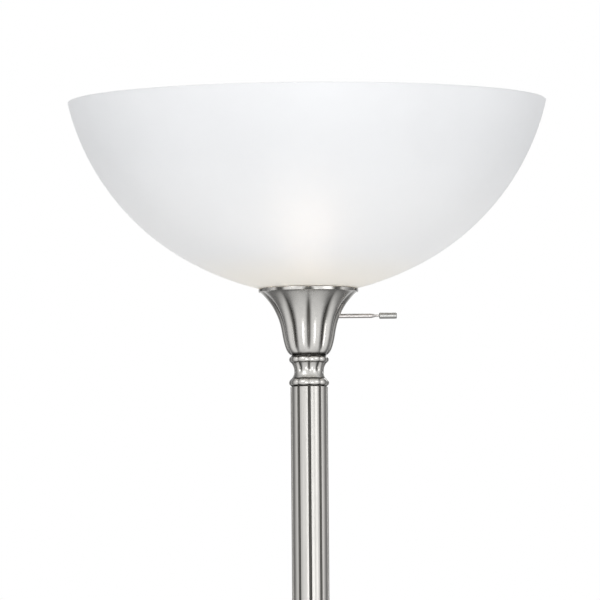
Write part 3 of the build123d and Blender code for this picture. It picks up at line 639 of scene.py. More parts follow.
@dataclass(frozen=True)
class BulbGlass(Finish):
    """A frosted bulb's envelope. Where it is lit it glows warm, brightest over its lamp.

    Args:
        name: The material's name.
        centre: The middle of the glow.
        reach: The envelope's radius.
        strength: How strongly it glows.
        glow: The glow's colour.
        frost: The frosting's two whites.
    """

    FROST_SCALE: ClassVar[float] = 1200.0
    FROST_ROUGHNESS: ClassVar[tuple[float, float]] = (0.42, 0.52)

    name: str
    centre: Point
    reach: float
    strength: float
    glow: Colour = (1.0, 0.80, 0.62)
    frost: tuple[Colour, Colour] = ((0.90, 0.89, 0.87), (0.96, 0.95, 0.93))

    def make(self) -> bpy.types.Material:
        """Builds the envelope: frosted white with a warm heart.

        Returns:
            The material.
        """
        material, nodes, shader = self._start()
        spot = self._place(nodes, self.centre)
        heart = nodes.remap(nodes.length(spot), self.reach * 0.8, self.reach * 2.6, 1.0, 0.15,
                            smooth=True)
        frost = nodes.noise(spot, self.FROST_SCALE)
        nodes.feed(shader, {"Base Color": nodes.mix(nodes.share(frost), *self.frost),
                            "Roughness": nodes.remap(frost, *NOISE_RANGE, *self.FROST_ROUGHNESS),
                            "Emission Color": nodes.mix(heart, BLACK, self.glow),
                            "Emission Strength": self.strength})
        return material


@dataclass(frozen=True)
class Moulded(Finish):
    """Moulded or cast matter that isn't plated: phenolic, nylon, foam, soft plastic or raw iron.

    Args:
        name: The material's name.
        colour: Its first colour.
        second: The colour that blotches it.
        roughness: Its middle roughness.
        grit: The scale of its fine relief.
        relief: How deep that is.
        blotch: The scale of its blotches.
        coat: How much gloss lies over it.
    """

    DUST_SHARE: ClassVar[float] = 0.35
    DUST_LIFT: ClassVar[float] = 0.10
    SMUDGE_ROUGHNESS: ClassVar[float] = 0.06

    name: str
    colour: Colour
    second: Colour
    roughness: float
    grit: float = 900.0
    relief: float = 0.00003
    blotch: float = 60.0
    coat: float = 0.0

    def make(self) -> bpy.types.Material:
        """Builds the matter: blotches, grit in the face and dust.

        Returns:
            The material.
        """
        material, nodes, shader = self._start()
        spot = nodes.add("TexCoord").outputs["Object"]
        touch = nodes.group(shelf.handling, {"Vector": spot, "Size": 2.0})
        patch = nodes.remap(nodes.noise(spot, self.blotch, 4.0), 0.35, 0.65, 0.0, 1.0)
        clean = nodes.mix(patch, self.colour, self.second)
        dust_colour = tuple(min(1.0, value + self.DUST_LIFT) for value in self.second)
        dust = nodes.maths("MULTIPLY", touch["Dust"], self.DUST_SHARE)
        grain = nodes.noise(spot, self.grit)
        worn = nodes.maths("MULTIPLY", touch["Smudge"], self.SMUDGE_ROUGHNESS)
        nodes.feed(shader, {"Base Color": nodes.mix(dust, clean, dust_colour),
                            "Roughness": nodes.maths("ADD", nodes.around(grain, self.roughness, 0.1), worn),
                            "Normal": nodes.bump(grain, 0.6, self.relief),
                            "Coat Weight": self.coat, "Coat Roughness": 0.1})
        return material


# ---------------------------------------------------------------- turned and pressed forms
FLUTES = 10
GROOVE_MAP = "groove"
GROOVE_WIDTH_POWER = 1.3
MERGE_DISTANCE = 0.01 * MM


@dataclass(frozen=True)
class Ring:
    """One ring of a turned form, in millimetres.

    Args:
        radius: Its radius.
        height: Its height over the form's foot.
        flute: How deep the flutes are pressed in here, as a share of the deepest.
        shade: How much painted shade, with some dirt, lies here, from 0 to 1.
        line: How much painted shade lies in the bottoms of the flutes beyond what their depth gives. Over 1
            it is full across more of a flute.
    """

    radius: float
    height: float
    flute: float = 0.0
    shade: float = 0.0
    line: float = 0.0


class TurnedForm:
    """A form that is raised ring by ring from one circle, then has flutes pressed into its wall.

    Args:
        name: The piece's name.
        foot: The point on its axis that its heights are measured from, in the frame.
        sides: How many points each ring has.
        upward: Whether it rises from its foot; otherwise it hangs from it.
    """

    def __init__(self, name: str, foot: Vector, sides: int, upward: bool = True) -> None:
        """Keeps what the form starts from."""
        self.name, self.foot, self.sides = name, foot, sides
        self.way = 1.0 if upward else -1.0
        self.piece: Optional[bpy.types.Object] = None

    def _centre(self, ring: Ring) -> Vector:
        """A ring's centre in the frame."""
        return self.foot + Vector((0.0, 0.0, self.way * ring.height * MM))

    def raise_rings(self, rings: Sequence[Ring]) -> None:
        """Raises the wall: each ring is extruded from the one before and scaled to its radius.

        Args:
            rings: The rings in order. The last one lies on the first, which closes the form.
        """
        bpy.ops.object.select_all(action="DESELECT")
        bpy.ops.mesh.primitive_circle_add(vertices=self.sides, radius=rings[0].radius * MM,
                                          location=self._centre(rings[0]))
        self.piece = bpy.context.object
        self.piece.name = self.piece.data.name = self.name
        bpy.ops.object.mode_set(mode="EDIT")
        bpy.ops.mesh.select_all(action="SELECT")
        for before, after in zip(rings, rings[1:]):
            step = self.way * (after.height - before.height) * MM
            bpy.ops.mesh.extrude_region_move(TRANSFORM_OT_translate={"value": (0.0, 0.0, step)})
            grow = after.radius / before.radius
            bpy.ops.transform.resize(value=(grow, grow, 1.0), center_override=self._centre(after))
        bpy.ops.object.mode_set(mode="OBJECT")
        bpy.ops.object.transform_apply(location=True, rotation=False, scale=False)
        self._mark(rings)

    def _mark(self, rings: Sequence[Ring]) -> None:
        """Marks each point with how deep its flute goes and how much painted shade it takes.

        Args:
            rings: The rings in the order that they were raised.
        """
        flutes = self.piece.vertex_groups.new(name="flutes")
        shades = self.piece.vertex_groups.new(name="shades")
        for point in self.piece.data.vertices:
            ring = rings[point.index // self.sides]
            across, along = point.co.x - self.foot.x, self.foot.y - point.co.y
            from_groove = abs(math.sin(FLUTES * math.atan2(across, along) / 2))
            sunk = (1.0 - from_groove) ** GROOVE_WIDTH_POWER
            flutes.add([point.index], ring.flute * sunk, "REPLACE")
            # painted shade: the ring's own, or a dark line at the flute's bottom
            shades.add([point.index], max(ring.shade, ring.line * sunk), "REPLACE")

    def finish(self, flute_depth: float, levels: int = 2) -> bpy.types.Object:
        """Closes the wall, presses the flutes in, rounds all edges and keeps the groove map.

        Args:
            flute_depth: The deepest flute, in millimetres.
            levels: How often the mesh is subdivided.

        Returns:
            The finished piece.
        """
        bpy.ops.object.mode_set(mode="EDIT")
        bpy.ops.mesh.select_all(action="SELECT")
        bpy.ops.mesh.remove_doubles(threshold=MERGE_DISTANCE)
        bpy.ops.mesh.normals_make_consistent(inside=False)
        bpy.ops.object.mode_set(mode="OBJECT")
        if flute_depth:
            press = self.piece.modifiers.new("press", "DISPLACE")
            press.vertex_group = "flutes"
            press.mid_level = 0.0
            press.strength = -flute_depth * MM
            bpy.ops.object.modifier_apply(modifier=press.name)
        smooth = self.piece.modifiers.new("smooth", "SUBSURF")
        smooth.levels = smooth.render_levels = levels
        bpy.ops.object.modifier_apply(modifier=smooth.name)
        bpy.ops.object.shade_smooth()
        self._keep_map()
        return self.piece

    def _keep_map(self) -> None:
        """Turns the two marks, flute depth and painted shade, into one attribute that the finish reads."""
        mesh = self.piece.data
        deepest = [max((link.weight for link in point.groups), default=0.0) for point in mesh.vertices]
        mesh.attributes.new(GROOVE_MAP, "FLOAT", "POINT").data.foreach_set("value", deepest)
        self.piece.vertex_groups.clear()


def axis_of(node: str, top: bool = False) -> Vector:
    """A point on the upright axis of a turned node, from its box.

    Args:
        node: The node's name.
        top: Whether the point lies at the node's top; otherwise it lies at its foot.

    Returns:
        The point.
    """
    low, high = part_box(node)
    return Vector(((low.x + high.x) / 2, (low.y + high.y) / 2, high.z if top else low.z))


def hand_over(piece: bpy.types.Object, node: str, finish: Finish) -> None:
    """Lets a modelled piece stand for a CAD node and dresses it.

    Args:
        piece: The modelled piece.
        node: The node that it stands for.
        finish: Its finish.
    """
    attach(piece, frame["nodes"][node]["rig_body"])
    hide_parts(node)
    piece.data.materials.clear()
    piece.data.materials.append(finish.material())
    log.info("%s: %d faces, %s, stands for %s", piece.name, len(piece.data.polygons), finish.name, node)


@dataclass
class TulipCup:
    """A cup whose ribs flare like a tulip's petals to a notched lip. Lengths are millimetres.

    Args:
        node: The CAD node that it stands for.
        finish: Its finish.
        upward: Whether it opens upward.
        belly: Its radius where its flare starts.
        foot: Its radius at its foot.
        bore: The radius of the hole in its floor.
        wall: How thick its wall is.
        floor: How thick its floor is.
        inside: The smallest radius inside its wall.
        flute_depth: How deep its flutes are.
        lip_height: How high its lip is.
        lip_width: How wide its lip is.
        lip_proud: How far its lip stands out.
        notch: How deep its lip is notched, as a share of the flutes' depth.
        sides: How many points each ring has.
    """

    node: str
    finish: Finish
    upward: bool = True
    belly: float = 21.8
    foot: float = 15.7
    bore: float = 5.1
    wall: float = 1.2
    floor: float = 3.5
    inside: float = 17.6
    flute_depth: float = 3.0
    lip_height: float = 3.2
    lip_width: float = 1.6
    lip_proud: float = 0.15
    notch: float = 0.34
    sides: int = 8 * FLUTES

    def _outer(self, rim: float, height: float) -> list[Ring]:
        """The rings of the outer wall from the foot up to under the lip.

        Args:
            rim: The cup's radius under its lip.
            height: The cup's height.

        Returns:
            The rings.
        """
        swell, flare = self.belly - self.foot, rim - self.belly
        # share of the height, reach (-1 foot, 0 belly, 1 rim), flute, painted shade
        shares = ((0.012, -0.93, 0.10, 0.9), (0.045, -0.62, 0.45, 0.2), (0.10, -0.36, 0.78, 0.0),
                  (0.18, -0.14, 0.94, 0.0), (0.28, 0.02, 1.00, 0.0), (0.40, 0.070, 1.00, 0.0),
                  (0.52, 0.155, 1.00, 0.0), (0.64, 0.290, 0.92, 0.0), (0.75, 0.455, 0.76, 0.0),
                  (0.84, 0.650, 0.56, 0.0), (0.91, 0.820, 0.36, 0.0), (0.948, 0.930, 0.24, 0.25))
        return [Ring(self.belly + reach * (flare if reach > 0 else swell), share * height, flute, shade)
                for share, reach, flute, shade in shares]

    def _lip(self, rim: float, top: float) -> list[Ring]:
        """The rings of the lip, from under its edge to inside it.

        Args:
            rim: The cup's radius under its lip.
            top: The cup's height.

        Returns:
            The rings.
        """
        lip, crown, notch = rim + self.lip_proud, top - self.lip_height, self.notch
        # Painted shade lies under the lip, and darker lines of it in the notches.
        return [Ring(lip - 0.5, crown, notch, 0.5), Ring(lip - 0.05, crown + 0.15, notch, 0.1, 1.0),
                Ring(lip, crown + 0.5, notch, 0.0, 1.2), Ring(lip, top - 0.3, notch, 0.0, 1.2),
                Ring(lip - 0.12, top - 0.08, notch, 0.0, 1.0), Ring(lip - 0.6, top - 0.05, notch * 0.8),
                Ring(lip - self.lip_width, top - 0.05, 0.1),
                Ring(lip - self.lip_width - 0.4, top - 0.4)]

    def build(self) -> bpy.types.Object:
        """Models the cup: outer wall, lip, inner wall, floor and bore.

        Returns:
            The finished piece.
        """
        low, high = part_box(self.node)
        top = (high.z - low.z) / MM
        rim = (high.y - low.y) / 2 / MM - self.lip_proud
        outer = self._outer(rim, top)
        wall = [Ring(max(ring.radius - self.flute_depth * ring.flute - self.wall, self.inside), ring.height)
                for ring in reversed(outer) if self.floor + 2 < ring.height < top - self.lip_height - 1]
        # The ring at the foot's edge takes painted shade.
        under = [Ring(17.0, self.floor + 0.6), Ring(16.2, self.floor), Ring(self.bore + 0.3, self.floor),
                 Ring(self.bore, self.floor - 0.3), Ring(self.bore, 0.3), Ring(self.bore + 0.3, 0.0),
                 Ring(self.foot - 0.8, 0.0, 0.0, 0.8), outer[0]]
        form = TurnedForm(self.node + "_fluted", axis_of(self.node, top=not self.upward), self.sides,
                          self.upward)
        form.raise_rings([*outer, *self._lip(rim, top), *wall, *under])
        piece = form.finish(self.flute_depth)
        hand_over(piece, self.node, self.finish)
        return piece


@dataclass
class BeadedNeck:
    """The neck between the column and the cup: two beads with a lobed waist. Lengths are millimetres.

    Args:
        finish: Its finish.
        node: The CAD node that it stands for.
        bore: The radius of the hole through it.
        flute_depth: How deep its flutes are.
        sides: How many points each ring has.
    """

    finish: Finish
    node: str = "column_neck"
    bore: float = 5.1
    flute_depth: float = 1.5
    sides: int = 12 * FLUTES

    def build(self) -> bpy.types.Object:
        """Models the neck.

        Returns:
            The finished piece.
        """
        low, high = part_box(self.node)
        top = (high.z - low.z) / MM
        # A ring's fourth number is painted shade: darkest where the beads meet the column and the cup, faint
        # in the waist.
        foot_bead = [Ring(14.9, 0.05, 0.5, 1.0), Ring(14.95, 0.7, 0.5, 1.0), Ring(15.6, 1.05, 0.5, 0.6),
                     Ring(16.7, 1.8, 0.5), Ring(17.08, 3.0, 0.5), Ring(17.05, 4.4, 0.5),
                     Ring(16.4, 5.8, 0.5, 0.1), Ring(15.3, 6.8, 0.4, 0.7), Ring(14.6, 7.2, 0.2, 0.9)]
        waist = [Ring(14.0, 8.4, 0.0, 0.25), Ring(13.1, 10.0, 0.0, 0.15), Ring(12.6, 12.2, 0.1, 0.1),
                 Ring(12.5, 13.6, 0.6, 0.1), Ring(12.6, 15.2, 1.0), Ring(13.0, 17.0, 1.0),
                 Ring(13.9, 18.9, 1.0), Ring(14.8, 20.2, 0.8, 0.3), Ring(15.2, 20.7, 0.5, 0.9)]
        head_bead = [Ring(15.9, 21.1, 0.4, 0.4), Ring(16.7, 21.9, 0.5), Ring(16.95, 23.2, 0.5),
                     Ring(16.85, 24.4, 0.5), Ring(16.2, 25.4, 0.5), Ring(15.3, 26.0, 0.4, 0.7),
                     Ring(14.9, 26.3, 0.2, 1.0), Ring(14.9, top - 0.05, 0.0, 1.0)]
        inside = [Ring(14.5, top), Ring(self.bore + 0.3, top), Ring(self.bore, top - 0.3),
                  Ring(self.bore, 0.3), Ring(self.bore + 0.3, 0.0), Ring(14.5, 0.0), foot_bead[0]]
        form = TurnedForm("column_neck_beaded", axis_of(self.node), self.sides)
        form.raise_rings([*foot_bead, *waist, *head_bead, *inside])
        piece = form.finish(self.flute_depth)
        hand_over(piece, self.node, self.finish)
        return piece


@dataclass
class BowlGlass:
    """The blown bowl: a flat seat, a flatter foot, a spherical side and a ground rim, in millimetres.

    Args:
        finish: Its finish.
        node: The CAD node that it stands for.
        flat: The radius of its flat seat.
        ball_seat: The radius where the side's sphere would meet the seat's height.
        foot_share: Where the foot's arc meets the side's, as a share of the rim's radius.
        depth: How deep it is.
        wall: How thick it is.
        hole: The radius of the hole in its seat.
        sides: How many points each ring has.
        foot_steps: How many parts the foot's arc has.
        side_steps: How many parts the side's arc has.
    """

    finish: Finish
    node: str = "main_glass"
    flat: float = 40.5
    ball_seat: float = 31.0
    foot_share: float = 0.5
    depth: float = 159.5
    wall: float = 3.2
    hole: float = 20.4
    sides: int = 96
    foot_steps: int = 6
    side_steps: int = 16

    def _arc(self, centre: tuple[float, float], start: tuple[float, float], end: tuple[float, float],
             steps: int) -> list[tuple[Ring, Ring]]:
        """Points along an arc on the outer face, each with its point on the inner face.

        Args:
            centre: The arc's centre as radius and height.
            start: Where it starts.
            end: Where it ends.
            steps: How many parts it has.

        Returns:
            The outer and the inner ring of each point.
        """
        size = math.hypot(start[0] - centre[0], start[1] - centre[1])
        first = math.atan2(start[1] - centre[1], start[0] - centre[0])
        last = math.atan2(end[1] - centre[1], end[0] - centre[0])
        found = []
        for step in range(steps + 1):
            angle = first + (last - first) * step / steps
            found.append(tuple(Ring(centre[0] + reach * math.cos(angle), centre[1] + reach * math.sin(angle))
                               for reach in (size, size - self.wall)))
        return found

    def _side(self, rim: float) -> list[tuple[Ring, Ring]]:
        """The wall from the seat to the rim: the foot's arc, then the side's, which it touches smoothly.

        Args:
            rim: The bowl's radius at its rim.

        Returns:
            The outer and the inner ring of each point.
        """
        middle = (rim ** 2 + self.depth ** 2 - self.ball_seat ** 2) / (2 * self.depth)
        ball = math.hypot(self.ball_seat, middle)
        join = (rim * self.foot_share, middle - math.sqrt(ball ** 2 - (rim * self.foot_share) ** 2))
        inward = (-join[0] / ball, (middle - join[1]) / ball)
        chord = (self.flat - join[0], -join[1])
        swing = (chord[0] ** 2 + chord[1] ** 2) / (2 * (chord[0] * inward[0] + chord[1] * inward[1]))
        foot_centre = (join[0] + swing * inward[0], join[1] + swing * inward[1])
        foot = self._arc(foot_centre, (self.flat, 0.0), join, self.foot_steps)
        return foot + self._arc((0.0, middle), join, (rim, self.depth), self.side_steps)[1:]

    def build(self) -> bpy.types.Object:
        """Models the glass.

        Returns:
            The finished piece.
        """
        low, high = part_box(self.node)
        rim = (high.x - low.x) / 2 / MM
        pairs = self._side(rim)
        outer = [pair[0] for pair in pairs]
        inner = [pair[1] for pair in reversed(pairs)]
        ground = [Ring(rim - 0.25, self.depth + 0.3), Ring(rim - 0.8, self.depth + 0.48),
                  Ring(rim - 2.2, self.depth + 0.48), Ring(rim - 2.9, self.depth + 0.25)]
        seat = [Ring(self.flat - 3.0, self.wall), Ring(self.hole + 0.4, self.wall),
                Ring(self.hole, self.wall - 0.4), Ring(self.hole, 0.4), Ring(self.hole + 0.4, 0.0),
                Ring(self.flat - 1.0, 0.0), outer[0]]
        form = TurnedForm("main_glass_blown", axis_of(self.node), self.sides)
        form.raise_rings([*outer, *ground, *inner, *seat])
        piece = form.finish(0.0)
        hand_over(piece, self.node, self.finish)
        return piece


# ---------------------------------------------------------------- the studio
@dataclass(frozen=True)
class SoftBox:
    """A square area lamp.

    Args:
        name: Its name.
        place: Where it hangs.
        side: How wide it is.
        power: Its power in watts.
    """

    name: str
    place: Point
    side: float
    power: float


@dataclass
class Studio:
    """The floor, the soft light round the lamp and the camera that looks up at its bowl.

    Args:
        distance: How far in front of the lamp the camera stands.
        eye_height: How high it stands.
        aim: The point that it looks at.
        roll_degrees: How far it is rolled.
        lens_mm: Its focal length.
        floor_radius: The floor's radius.
        floor_colour: The floor's colour.
        fade_from: How far from the lamp the floor starts to fade out.
        fade_to: How far from the lamp it is gone.
        boxes: The lamps.
        reflected: What metal and glass reflect from front (0) to back (1), as place and level.
        soft_level: How bright the world is for everything else.
    """

    distance: float = 8.8
    eye_height: float = 1.092
    aim: Point = (-0.0072, 0.0, 1.631)
    roll_degrees: float = 0.45
    lens_mm: float = 622.0
    floor_radius: float = 60.0
    floor_colour: Colour = (0.86, 0.86, 0.86)
    fade_from: float = 1.2
    fade_to: float = 6.0
    boxes: tuple[SoftBox, ...] = (SoftBox("key_box", (-2.6, -3.2, 3.4), 2.2, 32.0),
                                  SoftBox("low_box", (0.3, -3.4, 0.80), 1.2, 18.0),
                                  SoftBox("fill_box", (3.0, -2.6, 2.2), 2.0, 18.0),
                                  SoftBox("back_box", (0.6, 3.4, 3.0), 2.0, 24.0))
    reflected: tuple[tuple[float, float], ...] = ((0.0, 1.25), (0.35, 1.15), (0.52, 0.75), (0.68, 0.28),
                                                  (0.86, 0.20), (0.96, 0.75), (1.0, 0.95))
    soft_level: float = 0.80

    def build(self) -> None:
        """Sets the world, the floor, the lamps and the camera."""
        self._world()
        self._floor()
        self._lamps()
        self._camera()
        bpy.context.scene.view_settings.view_transform = "Standard"
        log.info("studio: %d lamps, camera at %.1f m", len(self.boxes), self.distance)

    def _ramp(self, nodes: NodeTree, place: Socket) -> Socket:
        """The ramp of what is reflected.

        Args:
            nodes: The world's helper.
            place: The place on it, from front (0) to back (1).

        Returns:
            The colour's socket.
        """
        node = nodes.add("ValToRGB", {"Fac": place})
        elements = node.color_ramp.elements
        elements[0].position = self.reflected[0][0]
        elements[1].position = self.reflected[-1][0]
        for spot, _ in self.reflected[1:-1]:
            elements.new(spot)
        for element, (_, level) in zip(elements, self.reflected):
            element.color = (level, level, level, 1.0)
        return node.outputs["Color"]

    def _world(self) -> None:
        """A white backdrop, and for reflections a studio that is bright in front and greyer beside."""
        world = bpy.data.worlds.new("studio")
        bpy.context.scene.world = world
        nodes = NodeTree.emptied(world)
        _, depth, rise = nodes.parts(nodes.add("TexCoord").outputs["Generated"])
        path = nodes.add("LightPath").outputs
        soft = nodes.add("Background", {"Color": (0.98, 0.99, 1.0, 1.0), "Strength": self.soft_level})
        studio = nodes.add("Background", {
            "Color": self._ramp(nodes, nodes.remap(depth, -1.0, 1.0, 0.0, 1.0)),
            "Strength": nodes.remap(rise, -0.9, -0.4, 0.85, 1.0, smooth=True)})
        white = nodes.add("Background", {"Color": (1.0, 1.0, 1.0, 1.0), "Strength": 1.0})
        shiny = nodes.maths("MAXIMUM", path["Is Glossy Ray"], path["Is Transmission Ray"])
        inner = nodes.add("MixShader", {0: shiny, 1: soft.outputs[0], 2: studio.outputs[0]})
        outer = nodes.add("MixShader",
                          {0: path["Is Camera Ray"], 1: inner.outputs[0], 2: white.outputs[0]})
        nodes.add("OutputWorld", {"Surface": outer.outputs[0]})

    def _floor(self) -> None:
        """A pale floor that is clear from below and fades out far from the lamp."""
        bpy.ops.object.select_all(action="DESELECT")
        bpy.ops.mesh.primitive_circle_add(vertices=96, radius=self.floor_radius, fill_type="NGON",
                                          location=(0, 0, 0))
        floor = bpy.context.object
        floor.name = "floor"
        material = bpy.data.materials.new("pale_floor")
        nodes = NodeTree.emptied(material)
        spot = nodes.add("TexCoord").outputs["Object"]
        haze = nodes.share(nodes.noise(spot, 3.0, 4.0))
        colour = nodes.mix(haze, self.floor_colour, shaded(self.floor_colour, 1.02))
        face = nodes.add("BsdfDiffuse", {"Color": colour})
        clear = nodes.add("BsdfTransparent")
        under = nodes.add("NewGeometry").outputs["Backfacing"]
        shiny = nodes.add("LightPath").outputs["Is Glossy Ray"]
        far = nodes.remap(nodes.length(spot), self.fade_from, self.fade_to, 0.0, 1.0, smooth=True)
        unseen = nodes.maths("MAXIMUM", far, nodes.maths("MAXIMUM", under, shiny))
        both = nodes.add("MixShader", {0: unseen, 1: face.outputs[0], 2: clear.outputs[0]})
        nodes.add("OutputMaterial", {"Surface": both.outputs[0]})
        floor.data.materials.append(material)

    def _lamps(self) -> None:
        """Three large soft boxes in front, one of them low, and one behind."""
        for box in self.boxes:
            data = bpy.data.lights.new(box.name, "AREA")
            data.shape = "SQUARE"
            data.size = box.side
            data.energy = box.power
            self._aimed(bpy.data.objects.new(box.name, data), box.place)

    def _camera(self) -> None:
        """A long lens a little above waist height, looking up."""
        data = bpy.data.cameras.new("camera")
        data.lens = self.lens_mm
        data.sensor_width = 36.0
        data.clip_end = 200.0
        camera = bpy.data.objects.new("camera", data)
        self._aimed(camera, (self.aim[0], -self.distance, self.eye_height))
        camera.rotation_euler.rotate_axis("Z", -math.radians(self.roll_degrees))
        bpy.context.scene.camera = camera

    def _aimed(self, thing: bpy.types.Object, place: Point) -> None:
        """Puts a lamp or the camera in the scene, turned to the aim.

        Args:
            thing: The lamp or the camera.
            place: Where it stands.
        """
        bpy.context.scene.collection.objects.link(thing)
        thing.location = place
        thing.rotation_euler = (Vector(self.aim) - Vector(place)).to_track_quat("-Z", "Y").to_euler()


# ---------------------------------------------------------------- finishes of this lamp
NICKEL: Colour = (0.53, 0.52, 0.50)
BRIGHT_NICKEL: Colour = (0.64, 0.63, 0.61)
ZINC: Colour = (0.58, 0.59, 0.60)

# The tubes' flute bottoms take painted shade, by radius.
FLUTED_TUBE = PlatedMetal("nickel_fluted_tube", (0.475, 0.465, 0.445), 0.31, Grain.LENGTHWISE_Z,
                          tone=0.05, line_depth=0.000008, groove_dirt_and_shade=(0.06, 0.058, 0.053),
                          recess_from=0.0147, recess_to=0.0157)
# The cups and the neck take painted shade from their groove map.
FLUTED = PlatedMetal("nickel_fluted", NICKEL, 0.24, Grain.NONE, tone=0.06,
                     groove_dirt_and_shade=(0.075, 0.072, 0.066), recess_map=GROOVE_MAP,
                     recess_from=0.25, recess_to=0.85)
TURNED = PlatedMetal("nickel_turned", NICKEL, 0.25)
BRIGHT_TURNED = PlatedMetal("nickel_bright_turned", BRIGHT_NICKEL, 0.16)
BRIGHT_SMALL = PlatedMetal("nickel_bright_small", BRIGHT_NICKEL, 0.18, Grain.NONE)
SATIN = PlatedMetal("nickel_satin", (0.34, 0.33, 0.318), 0.40, Grain.LENGTHWISE_X, tone=0.14)
BENT_TUBE = PlatedMetal("nickel_arm", (0.43, 0.42, 0.405), 0.29, Grain.NONE)
ROD = PlatedMetal("nickel_rod", (0.44, 0.42, 0.41), 0.22, Grain.LENGTHWISE_X)
KNOB = PlatedMetal("nickel_knob", (0.36, 0.36, 0.35), 0.26, Grain.LENGTHWISE_X)
BRASS = PlatedMetal("brass", (0.78, 0.57, 0.28), 0.3, Grain.NONE)
ZINC_STAMPED = PlatedMetal("zinc_stamped", ZINC, 0.36, Grain.NONE, tone=0.2)
ZINC_THREAD = ThreadedMetal("zinc_thread", ZINC, 0.001)
CAST_IRON = Moulded("cast_iron", (0.10, 0.10, 0.105), (0.16, 0.16, 0.165), 0.62, 260.0, 0.0004, 30.0)
FOAM = Moulded("base_foam", (0.035, 0.036, 0.038), (0.06, 0.06, 0.062), 0.92, 700.0, 0.0002, 120.0)
NYLON = Moulded("black_nylon", (0.025, 0.025, 0.026), (0.04, 0.04, 0.041), 0.45, 1400.0)
PHENOLIC = Moulded("phenolic", (0.035, 0.028, 0.024), (0.055, 0.045, 0.038), 0.34, 1100.0)
SOFT_RING = Moulded("white_ring", (0.80, 0.79, 0.76), (0.86, 0.85, 0.82), 0.30, 900.0, coat=0.2)


# ---------------------------------------------------------------- sub-assemblies
class SubAssembly:
    """What the lamp's sub-assemblies share: they dress CAD nodes and report them."""

    def dress(self, finish: Finish, *nodes: str) -> None:
        """Gives a finish to CAD nodes whose shape stays.

        Args:
            finish: Their finish.
            *nodes: The nodes' names.
        """
        for name in nodes:
            mesh = frame["nodes"][name].data
            mesh.materials.clear()
            mesh.materials.append(finish.material())
            log.info("%s: %d triangles, %s", name, len(mesh.polygons), finish.name)

    def build(self) -> None:
        """Builds and dresses the sub-assembly."""
        raise NotImplementedError


@dataclass
class WeightedBase(SubAssembly):
    """The base: a foam pad, a cast ballast, the spun cover with its collar, and the cord's bush.

    Args:
        cover: The finish of the cover and its collar.
        ballast: The ballast's finish.
        pad: The pad's finish.
        bush: The bush's finish.
    """

    cover: Finish = TURNED
    ballast: Finish = CAST_IRON
    pad: Finish = FOAM
    bush: Finish = NYLON

    def build(self) -> None:
        """Dresses the base from the floor up."""
        self.dress(self.pad, "base_pad")
        self.dress(self.ballast, "base_weight")
        self.dress(self.cover, "base_shell", "base_collar")
        self.dress(self.bush, "cord_inlet")


@dataclass
class FlutedColumn(SubAssembly):
    """The column: three fluted tubes, what joins them, the ring between them and the beaded neck.

    Args:
        tube: The tubes' finish.
        ring: The ring's finish.
        neck: The neck.
    """

    tube: Finish = FLUTED_TUBE
    ring: Finish = BRIGHT_TURNED
    neck: BeadedNeck = field(default_factory=lambda: BeadedNeck(FLUTED))

    def build(self) -> None:
        """Dresses the tubes and what is inside them, and models the neck."""
        self.dress(self.tube, "lower_tube", "middle_tube", "upper_tube")
        self.dress(self.ring, "column_ring")
        self.dress(ZINC_STAMPED, "tube_inserts", "column_nuts", "column_washers")
        self.dress(ZINC_THREAD, "column_nipples")
        self.neck.build()


@dataclass
class SwivelHub(SubAssembly):
    """The hub on the column and the collar that turns on it.

    Args:
        turned: The finish of the hub's two halves.
        collar: The collar's finish.
    """

    turned: Finish = TURNED
    collar: Finish = SATIN

    def build(self) -> None:
        """Dresses the hub, its collar and the washers between them."""
        self.dress(self.turned, "hub_lower", "hub_upper")
        self.dress(self.collar, "swivel_collar")
        self.dress(NYLON, "swivel_washers")


@dataclass
class ReadingArm(SubAssembly):
    """The bent arm with the pivot at each end and the knuckle that carries the reading light.

    Args:
        tube: The bent tube's finish.
        ears: The finish of the flat ears.
        fasteners: The finish of the bolts and thumb nuts.
        knuckle_colour: The knuckle's colour.
    """

    tube: Finish = BENT_TUBE
    ears: Finish = SATIN
    fasteners: Finish = BRIGHT_SMALL
    knuckle_colour: Colour = (0.42, 0.41, 0.395)

    def build(self) -> None:
        """Dresses the arm from the hub outward."""
        self.dress(self.tube, "arm_tube")
        self.dress(self.ears, "arm_tongue", "arm_fork")
        self.dress(self.fasteners, "arm_bolt", "head_bolt", "arm_thumb_nut", "head_thumb_nut")
        self.dress(NYLON, "arm_washers", "head_washers")
        self.dress(PlatedMetal("nickel_turned_head", self.knuckle_colour, 0.36,
                               centre=tuple(axis_of("reading_cup"))), "head_knuckle")
        self.dress(ZINC_STAMPED, "head_lock_nut", "head_lock_washer")
        self.dress(ThreadedMetal("zinc_thread_head", ZINC, 0.001, centre=tuple(axis_of("head_nipple"))),
                   "head_nipple")


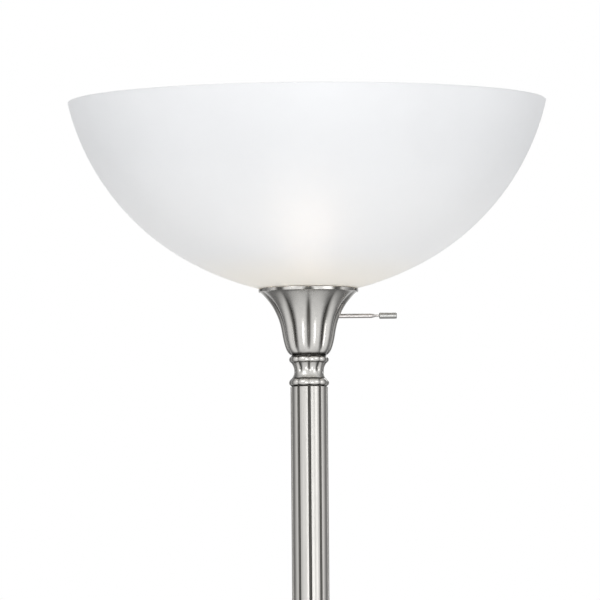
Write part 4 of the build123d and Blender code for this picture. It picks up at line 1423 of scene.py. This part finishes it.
@dataclass
class LightHead(SubAssembly):
    """A light: its fluted cup with socket and switch, its glass and its bulb.

    Args:
        light: The word that its nodes' names start with.
        upward: Whether it opens upward.
        bulb_strength: How strongly the bulb's envelope glows.
        heart_share: How high over the envelope's foot it glows most, in envelope radii.
        cap_colour: The colour of the bulb's threaded cap.
        cap_pitch: The pitch of its thread.
    """

    light: str
    upward: bool
    bulb_strength: float
    heart_share: float
    cap_colour: Colour = (0.78, 0.78, 0.77)
    cap_pitch: float = 0.0036

    def node(self, piece: str) -> str:
        """The full name of one of the light's nodes."""
        return f"{self.light}_{piece}"

    def build(self) -> None:
        """Models the cup, dresses what is in it, then makes the glass and the bulb."""
        TulipCup(self.node("cup"), FLUTED, self.upward).build()
        self.dress(ZINC_STAMPED, self.node("socket_cap"), self.node("seat_plate"))
        self.dress(PHENOLIC, self.node("socket_body"), self.node("switch_cam"), self.node("shade_ring"))
        self.dress(BRASS, self.node("screw_shell"), self.node("socket_contact"))
        self.dress(ROD, self.node("switch_rod"))
        self.dress(KNOB, self.node("switch_knob"))
        self.dress(SOFT_RING, self.node("gasket"))
        self.glass()
        self.bulb()

    def glass(self) -> None:
        """Makes the glass."""
        raise NotImplementedError

    def bulb(self) -> None:
        """Dresses the bulb's cap and its envelope."""
        cap, envelope = self.node("bulb_cap"), self.node("bulb_glass")
        self.dress(ThreadedMetal(self.node("bulb_thread"), self.cap_colour, self.cap_pitch,
                                 centre=tuple(axis_of(cap))), cap)
        low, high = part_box(envelope)
        ball = (high.x - low.x) / 2
        heart = axis_of(envelope) + Vector((0.0, 0.0, ball * self.heart_share))
        self.dress(BulbGlass(self.node("bulb_envelope"), tuple(heart), ball, self.bulb_strength), envelope)


@dataclass
class TorchiereHead(LightHead):
    """The upward light with the big bowl. Its foot glows over the lit bulb, with painted light.

    Args:
        glow: The painted bulb light that the bowl's foot gives off.
        warm_rise: How far over its seat the bowl's painted warm light has faded.
        glow_rise: How far over its seat the glow has faded.
    """

    light: str = "main"
    upward: bool = True
    bulb_strength: float = 6.0
    heart_share: float = 0.9
    glow: Colour = (0.057, 0.054, 0.049)
    warm_rise: float = 0.03
    glow_rise: float = 0.13

    def glass(self) -> None:
        """Models the bowl."""
        seat = axis_of(self.node("glass")).z
        BowlGlass(OpalGlass("main_opal", warm_low=seat, warm_high=seat + self.warm_rise, glow=self.glow,
                            glow_low=seat + self.warm_rise, glow_high=seat + self.glow_rise)).build()


@dataclass
class ReadingHead(LightHead):
    """The small light at the arm's end. It hangs, and its bulb is off.

    Args:
        warm_drop: How far under its seat the glass's painted warm light has faded.
    """

    light: str = "reading"
    upward: bool = False
    bulb_strength: float = 0.0
    heart_share: float = 1.0
    warm_drop: float = 0.02

    def glass(self) -> None:
        """Dresses the bell glass."""
        seat = axis_of(self.node("glass"), top=True).z
        self.dress(OpalGlass("reading_opal", warm_low=seat, warm_high=seat - self.warm_drop),
                   self.node("glass"))


def main() -> None:
    """Builds the lamp's sub-assemblies and the studio."""
    logging.basicConfig(level=logging.INFO, format="%(name)s: %(message)s")
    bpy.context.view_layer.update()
    for part in (WeightedBase(), FlutedColumn(), SwivelHub(), ReadingArm(), TorchiereHead(), ReadingHead()):
        log.info("-- %s", type(part).__name__)
        part.build()
    Studio().build()


if __name__ == "__main__":
    main()
